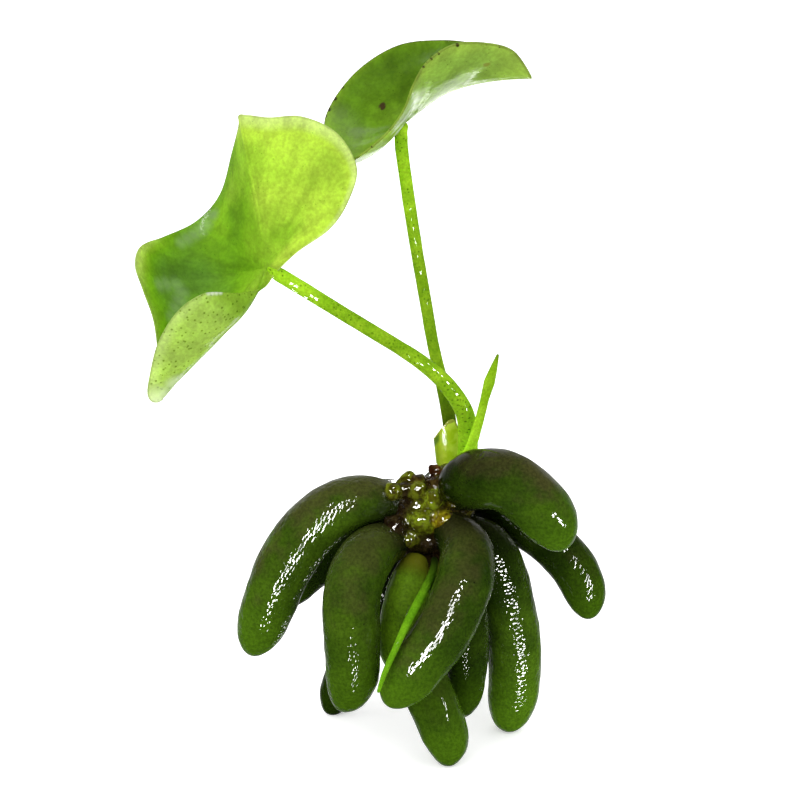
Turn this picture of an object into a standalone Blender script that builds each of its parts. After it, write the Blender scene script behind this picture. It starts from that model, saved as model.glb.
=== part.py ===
"""Banana lily: a whole plant as picked, standing on the ends of its banana-shaped tubers.

The frame is +Z up with the floor at z = 0 and the front of the plant towards -Y. Routes and
outlines are in millimetres, measured from the crown's axis and the floor.
"""

import math

import bmesh
import bpy
import numpy as np
from mathutils import Vector

MM = 0.001
CROWN_AXIS = (5.64, 0.5)  # where the crown's axis stands, so that the plant's box is centred
GAP = 0.3  # between pieces that meet

TUBER_SIDES = 12
TUBER_BODY_RINGS = 9
TUBER_NECK_SHARE = 0.58  # of the full radius, where the tuber leaves the crown
TUBER_NECK_LENGTH = 0.34  # share of the length over which it fills out
TUBER_TAPER = 0.14  # lost between the middle and the tip
TUBER_TIP_ANGLES = (9, 25, 43, 64)  # degrees round the rounded end
TUBER_TIP_LENGTH = 1.55  # of the radius
CURVE_STEPS = 16  # of the fine curve between two points of a route

LEAF_THICKNESS = 0.45
LEAF_TURN_STEPS = 2  # between two ribs
LEAF_REACH_STEPS = 5  # from the stem to the margin

STEM_SIDES = 8
SHEATH_THICKNESS = 0.35
LUMP_SUBDIVISIONS = 3
STUB_SIDES = 10
CROWN_VOXEL = 0.5  # fine enough to keep the knobs apart
CROWN_FACE_SHARE = 0.13  # kept after the lumps have grown together
POCKET_SIDES = 20  # of the round seat for the sheath
POCKET_DEPTH = 6
GROUND = (120, 120, 10)  # the slab under the floor, which flattens the tips that stand
WET_ROUGHNESS = 0.3
WELD_DISTANCE = 1e-6  # metres

DARK_GREEN = (0.021, 0.060, 0.006)
MID_GREEN = (0.045, 0.110, 0.012)
LEAF_GREEN = (0.220, 0.450, 0.020)
LEAF_SHADE_GREEN = (0.120, 0.300, 0.015)
STEM_GREEN = (0.250, 0.460, 0.025)
PALE_GREEN = (0.520, 0.700, 0.120)
CROWN_BROWN = (0.110, 0.090, 0.020)

# Each tuber: its full radius, its route from the crown to the tip, and whether it stands. A
# neck or taper other than the usual one is its share of the full radius.
TUBERS = {
    "tuber_left": dict(
        radius=3.65,
        taper=0.24,
        route=[(-2.9, -1, 32.6), (-6.4, -2.4, 33.8), (-9.9, -3.5, 33.4), (-13.7, -4.5, 31),
               (-17.1, -5, 26.3), (-19.3, -5, 20.7), (-21.75, -4.5, 13.5)],
    ),
    "tuber_left_rear": dict(
        radius=2.75,
        neck=0.5,
        route=[(-2.9, 0.8, 29.6), (-6.4, 3, 27.2), (-9.8, 4.9, 24.4), (-13.4, 6.1, 21.4),
               (-16.1, 6.4, 18.8), (-18.6, 6.3, 15.6)],
    ),
    "tuber_front_left": dict(
        radius=3.6,
        taper=0.2,
        route=[(-3.1, -3.4, 28.8), (-6.2, -7.2, 28.8), (-8.1, -10.2, 26.8), (-8.8, -12.2, 23.6),
               (-8.7, -13.2, 19.3), (-8.7, -13.4, 14.7), (-9.9, -13, 9.7)],
    ),
    "tuber_front_small": dict(
        radius=2.75,
        neck=0.42,
        colour=MID_GREEN,
        route=[(-0.5, -3, 26.6), (-1.4, -5.8, 24.3), (-2.3, -7.9, 21.2), (-2.8, -9, 17.3),
               (-2.8, -9.2, 12.8)],
    ),
    "tuber_front": dict(
        radius=3.6,
        route=[(3.1, -3.3, 31.1), (5.4, -7.5, 29.4), (5.4, -10.5, 27), (4.3, -12.5, 24.3),
               (2.3, -14.4, 20.7), (-0.5, -15.7, 17.2), (-4.5, -16.3, 12.1)],
    ),
    "tuber_lowest": dict(
        radius=3.2,
        neck=0.5,
        stands=True,
        route=[(1.3, 0.3, 24.4), (0.3, -0.7, 20), (-0.5, -2.9, 16), (0, -5.6, 11.5),
               (1.8, -7.6, 7.2), (3.1, -8.3, 3.7), (3.6, -8.4, -0.15)],
    ),
    "tuber_inner": dict(
        radius=2.65,
        neck=0.5,
        route=[(3.1, -1.5, 26.2), (4.9, -3.1, 22.8), (5.8, -3.4, 18.3), (5.9, -2.8, 13.2),
               (5.6, -2.2, 8.3), (4.8, -2, 3.5)],
    ),
    "tuber_right_low": dict(
        radius=3.5,
        neck=0.5,
        stands=True,
        route=[(5.1, -0.3, 29.5), (8.4, 0, 26.8), (10, 1, 22.5), (11.1, 1.5, 17.7),
               (12, 1.6, 12.2), (12, 1.6, 6), (11.2, 1.4, -0.15)],
    ),
    "tuber_right_rear": dict(
        radius=3.1,
        route=[(4.4, 2.2, 32.4), (8.7, 4.6, 31), (14.2, 5.2, 27), (18, 5.2, 23.5),
               (20.6, 4.8, 19.8), (22, 3.9, 14.8)],
    ),
    "tuber_right_top": dict(
        radius=3.8,
        neck=0.66,
        route=[(4.4, -3.3, 35.3), (5.6, -6.2, 37.6), (7.5, -8.2, 38.9), (10.1, -9.5, 39.1),
               (12.9, -10.3, 37.6), (15.4, -10.5, 34.9), (17.8, -10.3, 30.6)],
    ),
    "tuber_left_low": dict(
        radius=2.5,
        neck=0.5,
        stands=True,
        route=[(-1.6, 1.2, 25.6), (-4.1, 3.6, 20), (-6.9, 5.3, 14.3), (-9.2, 6.4, 8.5),
               (-10.7, 6.8, 4), (-12, 6.6, -0.15)],
    ),
    "tuber_back_right": dict(
        radius=2.8,
        neck=0.5,
        stands=True,
        route=[(2.1, 2.3, 27.6), (3.3, 6.2, 25.6), (4.8, 10.2, 21.6), (5.6, 12.6, 15.5),
               (6, 13.4, 8), (5.8, 13.6, -0.15)],
    ),
    "tuber_back_left": dict(
        radius=2.8,
        neck=0.42,
        route=[(-0.9, 2.9, 27.7), (-1.8, 6.6, 25), (-3.6, 10.4, 21.8), (-5, 13, 17),
               (-5.7, 13.8, 11.4), (-5.8, 13.6, 5.6)],
    ),
    "tuber_back_up_right": dict(
        radius=3.0,
        neck=0.5,
        route=[(1.2, 3.6, 32.4), (3.2, 9, 30.9), (7, 13.4, 28), (9.2, 15.6, 24.2),
               (10.2, 16.2, 20)],
    ),
    "tuber_back_up_left": dict(
        radius=2.9,
        neck=0.48,
        route=[(-1.6, 2.9, 31.9), (-5, 8.6, 29.3), (-8.8, 12.6, 26.6), (-11.2, 14.4, 22.6),
               (-12.2, 15.2, 16.8)],
    ),
}

# Each round stem: its route from the crown outwards and its radius at each of those points.
STEMS = {
    "stem_left": dict(
        colour=STEM_GREEN,
        route=[(5.6, 0.9, 36.6), (5.8, 0.5, 41), (5.25, -0.9, 45.1), (3.1, -2.4, 49.1),
               (0.25, -3, 52.05), (-2.8, -2.8, 54.15), (-8.9, -2.5, 57.97), (-17.5, -2, 63.35)],
        radii=[1.25, 1.25, 1.15, 1.05, 0.96, 0.88, 0.86, 0.9],
    ),
    "stem_right": dict(
        colour=STEM_GREEN,
        route=[(3.4, 3.4, 36.6), (3.6, 3.3, 41.1), (2.7, 2.8, 46.7), (1.4, 2.6, 52.7),
               (0.4, 2.5, 58.6), (-1, 2.3, 67.1), (-2.3, 2, 76.2), (-2.6, 1.6, 79.8)],
        radii=[0.95, 0.9, 0.82, 0.74, 0.76, 0.78, 0.78, 0.82],
    ),
    "young_leaf": dict(
        colour=PALE_GREEN,
        route=[(3.9, -0.6, 35.6), (4.9, -1.2, 38.2), (6.05, -2, 40.6), (6.75, -2.2, 43),
               (7.35, -2.1, 45.3), (7.8, -1.9, 47.2), (8.35, -1.7, 49.3), (8.85, -1.6, 51),
               (9.4, -1.5, 52.9)],
        radii=[0.5, 0.6, 0.66, 0.6, 0.56, 0.56, 0.69, 0.48, 0.14],
    ),
    "thin_root": dict(
        colour=STEM_GREEN,
        route=[(1.6, -2.9, 26), (1.4, -6.6, 26), (0.5, -10.4, 25.4), (-0.7, -13.7, 24.4),
               (-1.9, -15.9, 22.9), (-3.4, -17.5, 20), (-4.7, -18.7, 17.3),
               (-5.45, -19.1, 15)],
        radii=[0.45, 0.5, 0.55, 0.55, 0.5, 0.42, 0.34, 0.2],
    ),
}

# Each leaf: where the stem joins it, and round it, rib by rib, the blade's half-way and
# margin points. The first rib is the sinus, between the two basal lobes.
LEAVES = {
    "leaf_left": dict(
        colour=LEAF_GREEN,
        joint=(-19.2, -1.8, 64.2),
        ribs=[
            ((-18.7, -2.2, 63.8), (-18.2, -2.6, 63.4)),
            ((-18.2, -2.4, 64.5), (-16.9, -2.8, 65)),
            ((-17.3, -2.8, 65.5), (-15.1, -3.4, 66.9)),
            ((-14.9, -3.4, 68.5), (-11.1, -4.4, 70.1)),
            ((-13.4, -3.4, 70.8), (-8.8, -4.4, 73.9)),
            ((-12.9, -3.2, 72.9), (-8, -3.8, 77.7)),
            ((-14.2, -2.2, 73.6), (-10.4, -1.8, 81.3)),
            ((-16.1, -1.2, 73.8), (-14.7, 0.2, 82.8)),
            ((-18.4, -0.4, 73.7), (-18.6, 2, 82.2)),
            ((-19.9, 0.3, 73.3), (-21.6, 4, 82)),
            ((-20.5, 0.8, 73), (-22.45, 4.5, 81.75)),
            ((-20.9, 1.2, 72.4), (-22.5, 5.2, 80.3)),
            ((-21.9, 2.4, 70.7), (-23.5, 8, 76.2)),
            ((-23.1, 3.4, 67.9), (-25.2, 9.3, 70.3)),
            ((-24.3, 3.8, 65.6), (-28.2, 7.5, 67.3)),
            ((-25.9, 3.6, 63.8), (-32.1, 3.2, 66.6)),
            ((-26.8, 3, 62.7), (-34.4, -1.5, 66.9)),
            ((-27.2, 2.4, 61.8), (-34.9, -4.5, 65.4)),
            ((-27, 0.6, 60.6), (-33.9, -6, 62.7)),
            ((-26.6, -2, 59), (-32.6, -7.2, 59)),
            ((-26.4, -3.4, 57), (-32.1, -7.6, 53.6)),
            ((-26.4, -4.6, 55.9), (-31.8, -8, 49.6)),
            ((-26.3, -5.6, 55.2), (-32.8, -8.5, 49.1)),
            ((-26.1, -6.4, 55.3), (-33.5, -9, 50.1)),
            ((-25.7, -7.2, 55.9), (-33.2, -9.9, 52.7)),
            ((-25, -8, 57.1), (-31.9, -11, 57.7)),
            ((-23.5, -8.9, 59), (-29.3, -12.2, 62.1)),
            ((-22.1, -8.8, 60.7), (-26, -11.8, 64.2)),
            ((-20.6, -7.1, 62), (-22.3, -9, 63.3)),
            ((-19.5, -4.6, 63), (-19.6, -5, 62.6)),
        ],
    ),
    "leaf_right": dict(
        colour=LEAF_SHADE_GREEN,
        joint=(-2.1, 1, 81.9),
        ribs=[
            ((-2.6, 0.9, 81.3), (-3.1, 0.8, 80.4)),
            ((-5.7, -0.3, 78.5), (-9.3, -1, 77.1)),
            ((-4.4, -1.2, 80), (-6.7, -4, 79.7)),
            ((-3.1, -2.2, 81.9), (-3.9, -6.5, 83)),
            ((-2, -3.4, 84), (-2.2, -8, 86)),
            ((-1.1, -4.3, 85.8), (-1.2, -8.6, 88.9)),
            ((-0.1, -4.6, 86.7), (0.5, -8.6, 91.8)),
            ((1.1, -4.4, 87), (3.6, -8, 93.7)),
            ((2.4, -3.8, 87.2), (7.5, -7, 93.6)),
            ((3.5, -2.8, 87.1), (10.8, -5.5, 92.2)),
            ((4, -1.4, 86.6), (13, -3.5, 88.5)),
            ((3.5, 1, 86.2), (11, 1, 89.8)),
            ((2.4, 3.8, 85.9), (7, 5, 90.5)),
            ((0.2, 5.6, 85.7), (2.2, 8, 90.35)),
            ((-3, 7, 84.8), (-3.3, 10, 89.1)),
            ((-6.2, 7, 83.1), (-8.6, 9.5, 85.6)),
            ((-7.8, 5, 80.4), (-12, 7, 80.7)),
            ((-7, 3, 78.4), (-11, 4, 77.1)),
            ((-5.4, 1.5, 78.6), (-8.9, 1.5, 76.6)),
        ],
    ),
}

# The crown: its lumps, then the scars and knobs on its front, as centre and radii.
CROWN_LUMPS = [
    ((0.2, -1.2, 31.2), (4.7, 4.0, 5.2)),
    ((4, 1.4, 33.2), (3.3, 3.6, 4.1)),
    ((1.2, 0.2, 26.5), (3.6, 3.2, 3.6)),
]
CROWN_KNOBS = [
    ((-3.3, -4.9, 31.2), 1.5),
    ((-0.1, -5, 32), 1.45),
    ((2.7, -4.8, 31.9), 1.5),
    ((1.4, -4.3, 34.5), 1.3),
    ((-0.5, -3.7, 35.6), 1.15),
    ((-2.1, -3.2, 35.4), 1.2),
    ((-0.4, -2.5, 36.4), 0.9),
    ((-3.6, -3.9, 35.5), 1.15),
    ((1.9, -2.5, 35.9), 1.15),
    ((1.8, -0.6, 37), 0.9),
    ((-1.7, -4.6, 29.4), 1.05),
    ((0.9, -4, 28.6), 1.2),
]
ROOT_STUB = ((-3.4, -1.8, 35), (-1.6, -1.8, 36.8), 0.7)

SHEATH = dict(
    centre=(3.4, 3.4),
    base=36.6,
    base_radius=1.5,
    top_radius=1.85,
    heights=(3.3, 3.5, 4.4, 5.5, 6.4, 6.3, 4.4, 2.8, 2.5),  # of its torn edge, across its front
    spread=200,  # degrees of the circle that it wraps, open at the back
)


def new_collection(name):
    collection = bpy.data.collections.new(name)
    bpy.context.scene.collection.children.link(collection)
    return collection


def clear_scene():
    for obj in list(bpy.data.objects):
        bpy.data.objects.remove(obj)


def in_metres(point):
    """A point of the plant, in millimetres from the crown's axis, in the part's frame."""
    return Vector((point[0] + CROWN_AXIS[0], point[1] + CROWN_AXIS[1], point[2])) * MM


def plant_material(name, colour):
    material = bpy.data.materials.new(name)
    material.use_nodes = True
    shader = material.node_tree.nodes["Principled BSDF"]
    shader.inputs["Base Color"].default_value = (*colour, 1)
    shader.inputs["Roughness"].default_value = WET_ROUGHNESS
    shader.inputs["Metallic"].default_value = 0
    return material


def add_object(name, data, collection, colour=None):
    obj = bpy.data.objects.new(name, data)
    collection.objects.link(obj)
    if colour:
        data.materials.append(plant_material(name, colour))
    return obj


def make_cutter(obj):
    obj.hide_render = True
    obj.display_type = "WIRE"


def cut(obj, cutter):
    boolean = obj.modifiers.new(cutter.name, "BOOLEAN")
    boolean.operation = "DIFFERENCE"
    boolean.object = cutter


def smooth_curve(points):
    """A fine curve through the points, bending evenly, and the length along it."""
    points = np.array(points, float)
    padded = np.vstack([2 * points[0] - points[1], points, 2 * points[-1] - points[-2]])
    fine = []
    for before, start, end, after in zip(padded, padded[1:], padded[2:], padded[3:]):
        for t in np.linspace(0, 1, CURVE_STEPS, endpoint=False):
            fine.append(through(before, start, end, after, t))
    fine = np.array([*fine, points[-1]])
    steps = np.linalg.norm(np.diff(fine, axis=0), axis=1)
    return fine, np.concatenate([[0], np.cumsum(steps)])


def through(before, start, end, after, t):
    """The Catmull-Rom curve from start to end, at t of the way."""
    bend = 2 * before - 5 * start + 4 * end - after
    turn = 3 * start - before - 3 * end + after
    return 0.5 * (2 * start + (end - before) * t + bend * t**2 + turn * t**3)


def points_at(fine, along, distances):
    return np.column_stack([np.interp(distances, along, axis) for axis in fine.T])


def tube(name, points, radii, sides, collection, colour=None):
    """A round tube along the points, with its own radius at each, as a closed mesh."""
    data = bpy.data.curves.new(name, "CURVE")
    data.dimensions = "3D"
    data.bevel_depth = MM
    data.bevel_resolution = sides // 2 - 2
    data.use_fill_caps = True
    spline = data.splines.new("POLY")
    spline.points.add(len(points) - 1)
    for target, point, radius in zip(spline.points, points, radii):
        target.co = (*in_metres(point), 1)
        target.radius = radius
    curve = add_object(name + "_curve", data, collection)
    evaluated = curve.evaluated_get(bpy.context.evaluated_depsgraph_get())
    mesh = bpy.data.meshes.new_from_object(evaluated)
    bpy.data.objects.remove(curve)
    weld = bmesh.new()
    weld.from_mesh(mesh)
    bmesh.ops.remove_doubles(weld, verts=weld.verts, dist=WELD_DISTANCE)
    weld.to_mesh(mesh)
    weld.free()
    mesh.shade_smooth()
    return add_object(name, mesh, collection, colour)


def tuber_stations(length, tuber):
    """Distances from the crown of a tuber's rings, and its radius at each."""
    radius = tuber["radius"]
    neck_share = tuber.get("neck", TUBER_NECK_SHARE)
    tip = TUBER_TIP_LENGTH * radius
    body = np.linspace(0, length - tip, TUBER_BODY_RINGS)
    angles = np.radians(TUBER_TIP_ANGLES[::-1])
    distances = np.concatenate([body, length - tip + tip * np.cos(angles)])
    share = distances / length
    filled = np.clip(share / TUBER_NECK_LENGTH, 0, 1)
    neck = neck_share + (1 - neck_share) * filled * (2 - filled)
    taper = 1 - tuber.get("taper", TUBER_TAPER) * np.clip(2 * share - 1, 0, 1) ** 2
    ends = np.concatenate([np.ones(len(body)), np.sin(angles)])
    return distances, radius * neck * taper * ends


def add_tuber(name, tuber, collection, cutters, floor):
    fine, along = smooth_curve(tuber["route"])
    distances, radii = tuber_stations(along[-1], tuber)
    points = points_at(fine, along, distances)
    colour = tuber.get("colour", DARK_GREEN)
    obj = tube(name, points, radii, TUBER_SIDES, collection, colour)
    if tuber.get("stands"):
        cut(obj, floor)
    return add_socket(name, points, radii, TUBER_SIDES, cutters)


def add_socket(name, points, radii, sides, cutters):
    """What the crown gives up to a piece that grows out of it, with the gap round it."""
    inward = (points[0] - points[1]) / np.linalg.norm(points[0] - points[1])
    points = np.vstack([points[0] + GAP * inward, points])
    radii = np.concatenate([radii[:1], radii]) + GAP
    socket = tube(name + "_socket", points, radii, sides, cutters)
    make_cutter(socket)
    return socket


def add_stem(name, stem, collection, cutters):
    fine, along = smooth_curve(stem["route"])
    distances = np.linspace(0, along[-1], 2 * len(stem["route"]) - 1)
    points = points_at(fine, along, distances)
    radii = np.interp(distances, along[::CURVE_STEPS], stem["radii"])
    tube(name, points, radii, STEM_SIDES, collection, stem["colour"])
    return add_socket(name, points, radii, STEM_SIDES, cutters)


def round_ribs(points, turn):
    """The closed curve through the ribs' points, at a turn counted in ribs."""
    i = math.floor(turn)
    before, start, end, after = (points[(i + k) % len(points)] for k in (-1, 0, 1, 2))
    return through(before, start, end, after, turn - i)


def leaf_point(leaf, turn, reach):
    """The blade's middle surface, at a turn counted in ribs and a reach from stem to margin."""
    joint = np.array(leaf["joint"], float)
    half, margin = (round_ribs(points, turn) for points in np.array(leaf["ribs"]).swapaxes(0, 1))
    along_half = 4 * reach * (1 - reach)
    along_margin = reach * (2 * reach - 1)
    return joint + along_half * (half - joint) + along_margin * (margin - joint)


def add_leaf(name, leaf, collection):
    """The thin blade, as rings of points round the stem's end, given its thickness."""
    blade = bmesh.new()
    turns = len(leaf["ribs"]) * LEAF_TURN_STEPS
    centre = blade.verts.new(in_metres(leaf["joint"]))
    rings = []
    for reach in np.linspace(0, 1, LEAF_REACH_STEPS + 1)[1:]:
        ring = [leaf_point(leaf, turn / LEAF_TURN_STEPS, reach) for turn in range(turns)]
        rings.append([blade.verts.new(in_metres(point)) for point in ring])
    for turn in range(turns):
        after = (turn + 1) % turns
        blade.faces.new((centre, rings[0][after], rings[0][turn]))
        for inner, outer in zip(rings, rings[1:]):
            blade.faces.new((inner[turn], inner[after], outer[after], outer[turn]))
    mesh = bpy.data.meshes.new(name)
    blade.to_mesh(mesh)
    blade.free()
    mesh.shade_smooth()
    obj = add_object(name, mesh, collection, leaf["colour"])
    wall = obj.modifiers.new("thickness", "SOLIDIFY")
    wall.thickness = LEAF_THICKNESS * MM
    wall.offset = 0


def add_sheath(collection):
    """A thin torn sheet curled round the front of the stems' base."""
    sheet = bmesh.new()
    columns = []
    count = len(SHEATH["heights"])
    for i, height in enumerate(SHEATH["heights"]):
        angle = math.radians(-90 + SHEATH["spread"] * (i / (count - 1) - 0.5))
        column = []
        for rise in (0, 0.5, 1):
            radius = SHEATH["base_radius"] * (1 - rise) + SHEATH["top_radius"] * rise
            x = SHEATH["centre"][0] + radius * math.cos(angle)
            y = SHEATH["centre"][1] + radius * math.sin(angle)
            column.append(sheet.verts.new(in_metres((x, y, SHEATH["base"] + height * rise))))
        columns.append(column)
    for left, right in zip(columns, columns[1:]):
        for low in (0, 1):
            sheet.faces.new((left[low], right[low], right[low + 1], left[low + 1]))
    mesh = bpy.data.meshes.new("sheath")
    sheet.to_mesh(mesh)
    sheet.free()
    mesh.shade_smooth()
    obj = add_object("sheath", mesh, collection, PALE_GREEN)
    wall = obj.modifiers.new("thickness", "SOLIDIFY")
    wall.thickness = SHEATH_THICKNESS * MM
    wall.offset = 0


def sheath_pocket(cutters):
    """The round seat in the crown's top for the sheath and the stem inside it."""
    radius = SHEATH["base_radius"] + SHEATH_THICKNESS / 2 + GAP
    pocket = bmesh.new()
    bmesh.ops.create_cone(
        pocket, cap_ends=True, segments=POCKET_SIDES, radius1=radius * MM, radius2=radius * MM,
        depth=POCKET_DEPTH * MM,
    )
    mesh = bpy.data.meshes.new("sheath_pocket")
    pocket.to_mesh(mesh)
    pocket.free()
    obj = add_object("sheath_pocket", mesh, cutters)
    obj.location = in_metres((*SHEATH["centre"], SHEATH["base"] - GAP + POCKET_DEPTH / 2))
    make_cutter(obj)
    return obj


def add_crown(collection, sockets):
    """The knobbly crown: its lumps and knobs grown together, with a socket for each piece."""
    crown = bmesh.new()
    knobs = [(centre, (radius, radius, radius)) for centre, radius in CROWN_KNOBS]
    for centre, radii in CROWN_LUMPS + knobs:
        lump = bmesh.ops.create_icosphere(crown, subdivisions=LUMP_SUBDIVISIONS, radius=1)["verts"]
        bmesh.ops.scale(crown, vec=Vector(radii) * MM, verts=lump)
        bmesh.ops.translate(crown, vec=in_metres(centre), verts=lump)
    start, end, radius = ROOT_STUB
    along = (Vector(end) - Vector(start)) * MM
    stub = bmesh.ops.create_cone(
        crown, cap_ends=True, segments=STUB_SIDES, radius1=radius * MM, radius2=radius * MM,
        depth=along.length,
    )["verts"]
    bmesh.ops.rotate(crown, matrix=along.to_track_quat("Z", "Y").to_matrix(), verts=stub)
    bmesh.ops.translate(crown, vec=in_metres(start) + along / 2, verts=stub)
    mesh = bpy.data.meshes.new("crown")
    crown.to_mesh(mesh)
    crown.free()
    obj = add_object("crown", mesh, collection, CROWN_BROWN)
    remesh = obj.modifiers.new("grown_together", "REMESH")
    remesh.mode = "VOXEL"
    remesh.voxel_size = CROWN_VOXEL * MM
    remesh.use_smooth_shade = True
    thin_out = obj.modifiers.new("fewer_faces", "DECIMATE")
    thin_out.ratio = CROWN_FACE_SHARE
    for socket in sockets:
        cut(obj, socket)


def floor_cutter(cutters):
    """What lies under the floor, which takes the ends off the tubers that stand."""
    ground = bmesh.new()
    bmesh.ops.create_cube(ground, size=1)
    bmesh.ops.scale(ground, vec=Vector(GROUND) * MM, verts=ground.verts)
    mesh = bpy.data.meshes.new("ground")
    ground.to_mesh(mesh)
    ground.free()
    obj = add_object("ground", mesh, cutters)
    obj.location.z = -GROUND[2] / 2 * MM
    make_cutter(obj)
    return obj


def build():
    clear_scene()
    plant = new_collection("banana_lily")
    cutters = new_collection("cutters")
    floor = floor_cutter(cutters)
    sockets = [add_tuber(name, tuber, plant, cutters, floor) for name, tuber in TUBERS.items()]
    sockets += [add_stem(name, stem, plant, cutters) for name, stem in STEMS.items()]
    sockets.append(sheath_pocket(cutters))
    add_crown(plant, sockets)
    add_sheath(plant)
    for name, leaf in LEAVES.items():
        add_leaf(name, leaf, plant)


build()
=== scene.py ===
import math
import random

import bpy
import numpy as np
from mathutils import Matrix, Vector


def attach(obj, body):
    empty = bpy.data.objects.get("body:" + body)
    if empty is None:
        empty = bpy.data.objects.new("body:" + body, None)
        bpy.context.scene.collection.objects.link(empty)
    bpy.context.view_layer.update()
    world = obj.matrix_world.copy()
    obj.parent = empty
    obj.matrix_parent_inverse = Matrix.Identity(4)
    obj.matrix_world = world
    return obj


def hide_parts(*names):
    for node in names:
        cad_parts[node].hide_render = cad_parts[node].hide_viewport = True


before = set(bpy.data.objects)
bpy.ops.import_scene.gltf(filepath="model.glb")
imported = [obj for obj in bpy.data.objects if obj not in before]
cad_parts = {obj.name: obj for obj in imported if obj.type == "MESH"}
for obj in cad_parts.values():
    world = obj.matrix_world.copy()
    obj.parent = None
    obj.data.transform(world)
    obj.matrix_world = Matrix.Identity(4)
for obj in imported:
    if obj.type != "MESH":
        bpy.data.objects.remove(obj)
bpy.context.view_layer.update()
print("frame loaded:", len(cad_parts), "nodes")

mm = 0.001
crownAxis = (5.64, 0.5)  # mm, where the crown's axis stands on the floor

bpy.ops.object.select_all(action="DESELECT")


def place(point):  # from mm off the crown's axis and the floor to the frame's metres
    return Vector((point[0] + crownAxis[0], point[1] + crownAxis[1], point[2])) * mm


def placeAll(points):
    return (np.asarray(points, float) + (crownAxis[0], crownAxis[1], 0)) * mm


# camera: the photo's view, from a little above the front
cameraView = dict(
    target=(-2.75, 0, 46.3),
    distance=400,
    elevation=20,
    lens=144,
)


def aimFrom(azimuth, elevation, distance):  # azimuth 0 is the camera's side, positive to its right
    azimuth = math.radians(azimuth)
    elevation = math.radians(elevation)
    flat = math.cos(elevation)
    step = Vector((math.sin(azimuth) * flat, -math.cos(azimuth) * flat, math.sin(elevation)))
    return place(cameraView["target"]) + step * distance * mm


def addCamera():
    eye = aimFrom(0, cameraView["elevation"], cameraView["distance"])
    tilt = math.radians(90 - cameraView["elevation"])
    bpy.ops.object.camera_add(location=eye, rotation=(tilt, 0, 0))
    camera = bpy.context.object
    camera.name = "photoCamera"
    camera.data.lens = cameraView["lens"]
    camera.data.clip_start = 0.01
    bpy.context.scene.camera = camera


addCamera()
print("camera placed")


# small helpers for the materials
def put(tree, kind, inputs=None, **settings):
    made = tree.nodes.new("ShaderNode" + kind)
    for name, value in settings.items():
        setattr(made, name, value)
    for name, value in (inputs or {}).items():
        if isinstance(value, bpy.types.NodeSocket):
            tree.links.new(value, made.inputs[name])
        else:
            made.inputs[name].default_value = value
    return made


def blend(tree, factor, first, second, mode="MIX"):
    mix = put(tree, "Mix", data_type="RGBA", blend_type=mode)
    for socket, value in ((mix.inputs[0], factor), (mix.inputs[6], first), (mix.inputs[7], second)):
        if isinstance(value, bpy.types.NodeSocket):
            tree.links.new(value, socket)
        elif socket.type == "RGBA":
            socket.default_value = (*value, 1)
        else:
            socket.default_value = value
    return mix.outputs[2]


def tint(tree, colour, by):
    return blend(tree, 1.0, colour, by, "MULTIPLY")


def calc(tree, operation, first, second):
    return put(tree, "Math", {0: first, 1: second}, operation=operation).outputs[0]


def times(tree, first, *others):
    for other in others:
        first = calc(tree, "MULTIPLY", first, other)
    return first


def between(tree, share, first, second):  # first where the share is 0, second where it is 1
    return put(tree, "Mix", {0: share, 2: first, 3: second}).outputs[0]


def remap(tree, value, low, high, newLow=0.0, newHigh=1.0):
    inputs = {"Value": value, "From Min": low, "From Max": high, "To Min": newLow, "To Max": newHigh}
    return put(tree, "MapRange", inputs, interpolation_type="SMOOTHSTEP").outputs[0]


def onObject(tree):
    return put(tree, "TexCoord").outputs["Object"]


def acrossUv(tree):  # 0 to 1 round a stalk, or from edge to edge of a sheet
    return put(tree, "SeparateXYZ", {0: put(tree, "TexCoord").outputs["UV"]}).outputs[0]


def distanceTo(tree, spot):
    inputs = {0: onObject(tree), 1: tuple(spot)}
    return put(tree, "VectorMath", inputs, operation="DISTANCE").outputs["Value"]


def grain(tree, size, detail, rough=0.5):  # noise whose blobs measure size, in mm
    inputs = {"Vector": onObject(tree), "Scale": 1 / (size * mm), "Detail": detail, "Roughness": rough}
    return put(tree, "TexNoise", inputs).outputs["Fac"]


def drift(tree, size, detail, depth):  # noise that goes as far below nought as above it
    return times(tree, calc(tree, "SUBTRACT", grain(tree, size, detail), 0.5), depth)


def cells(tree, size, spread=1.0):  # distance to the nearest of points size mm apart, in sizes
    inputs = {"Vector": onObject(tree), "Scale": 1 / (size * mm), "Randomness": spread}
    return put(tree, "TexVoronoi", inputs).outputs["Distance"]


def reading(tree, name):
    return put(tree, "Attribute", attribute_name=name).outputs["Fac"]


def newMaterial(name):
    material = bpy.data.materials.new(name)
    material.use_nodes = True
    tree = material.node_tree
    tree.nodes.clear()
    return material, tree


def surface(tree, shader):
    output = put(tree, "OutputMaterial")
    tree.links.new(shader, output.inputs["Surface"])


def shineThrough(tree, skin, colour, share):  # a thin piece passes this share of the light
    glow = put(tree, "BsdfTranslucent", {"Color": colour})
    return put(tree, "MixShader", {0: share, 1: skin, 2: glow.outputs[0]}).outputs[0]


wetTissue = dict(
    roughness=0.5, ior=1.4,  # the tissue is matt
    waterIor=1.4,
    swellSpacing=2.2, swellShare=0.35,  # of the drops' spacing and height
    skinShare=0.3,  # of the drops' height, in the skin below them
)


def domes(tree, gap):  # a low round drop over each scattered point
    return times(tree, gap, gap, -1)


def beading(tree, size):  # height of a film of water drawn into low drops, size mm apart
    swells = grain(tree, size * wetTissue["swellSpacing"], 1)
    return calc(tree, "ADD", domes(tree, cells(tree, size)), times(tree, swells, wetTissue["swellShare"]))


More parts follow.
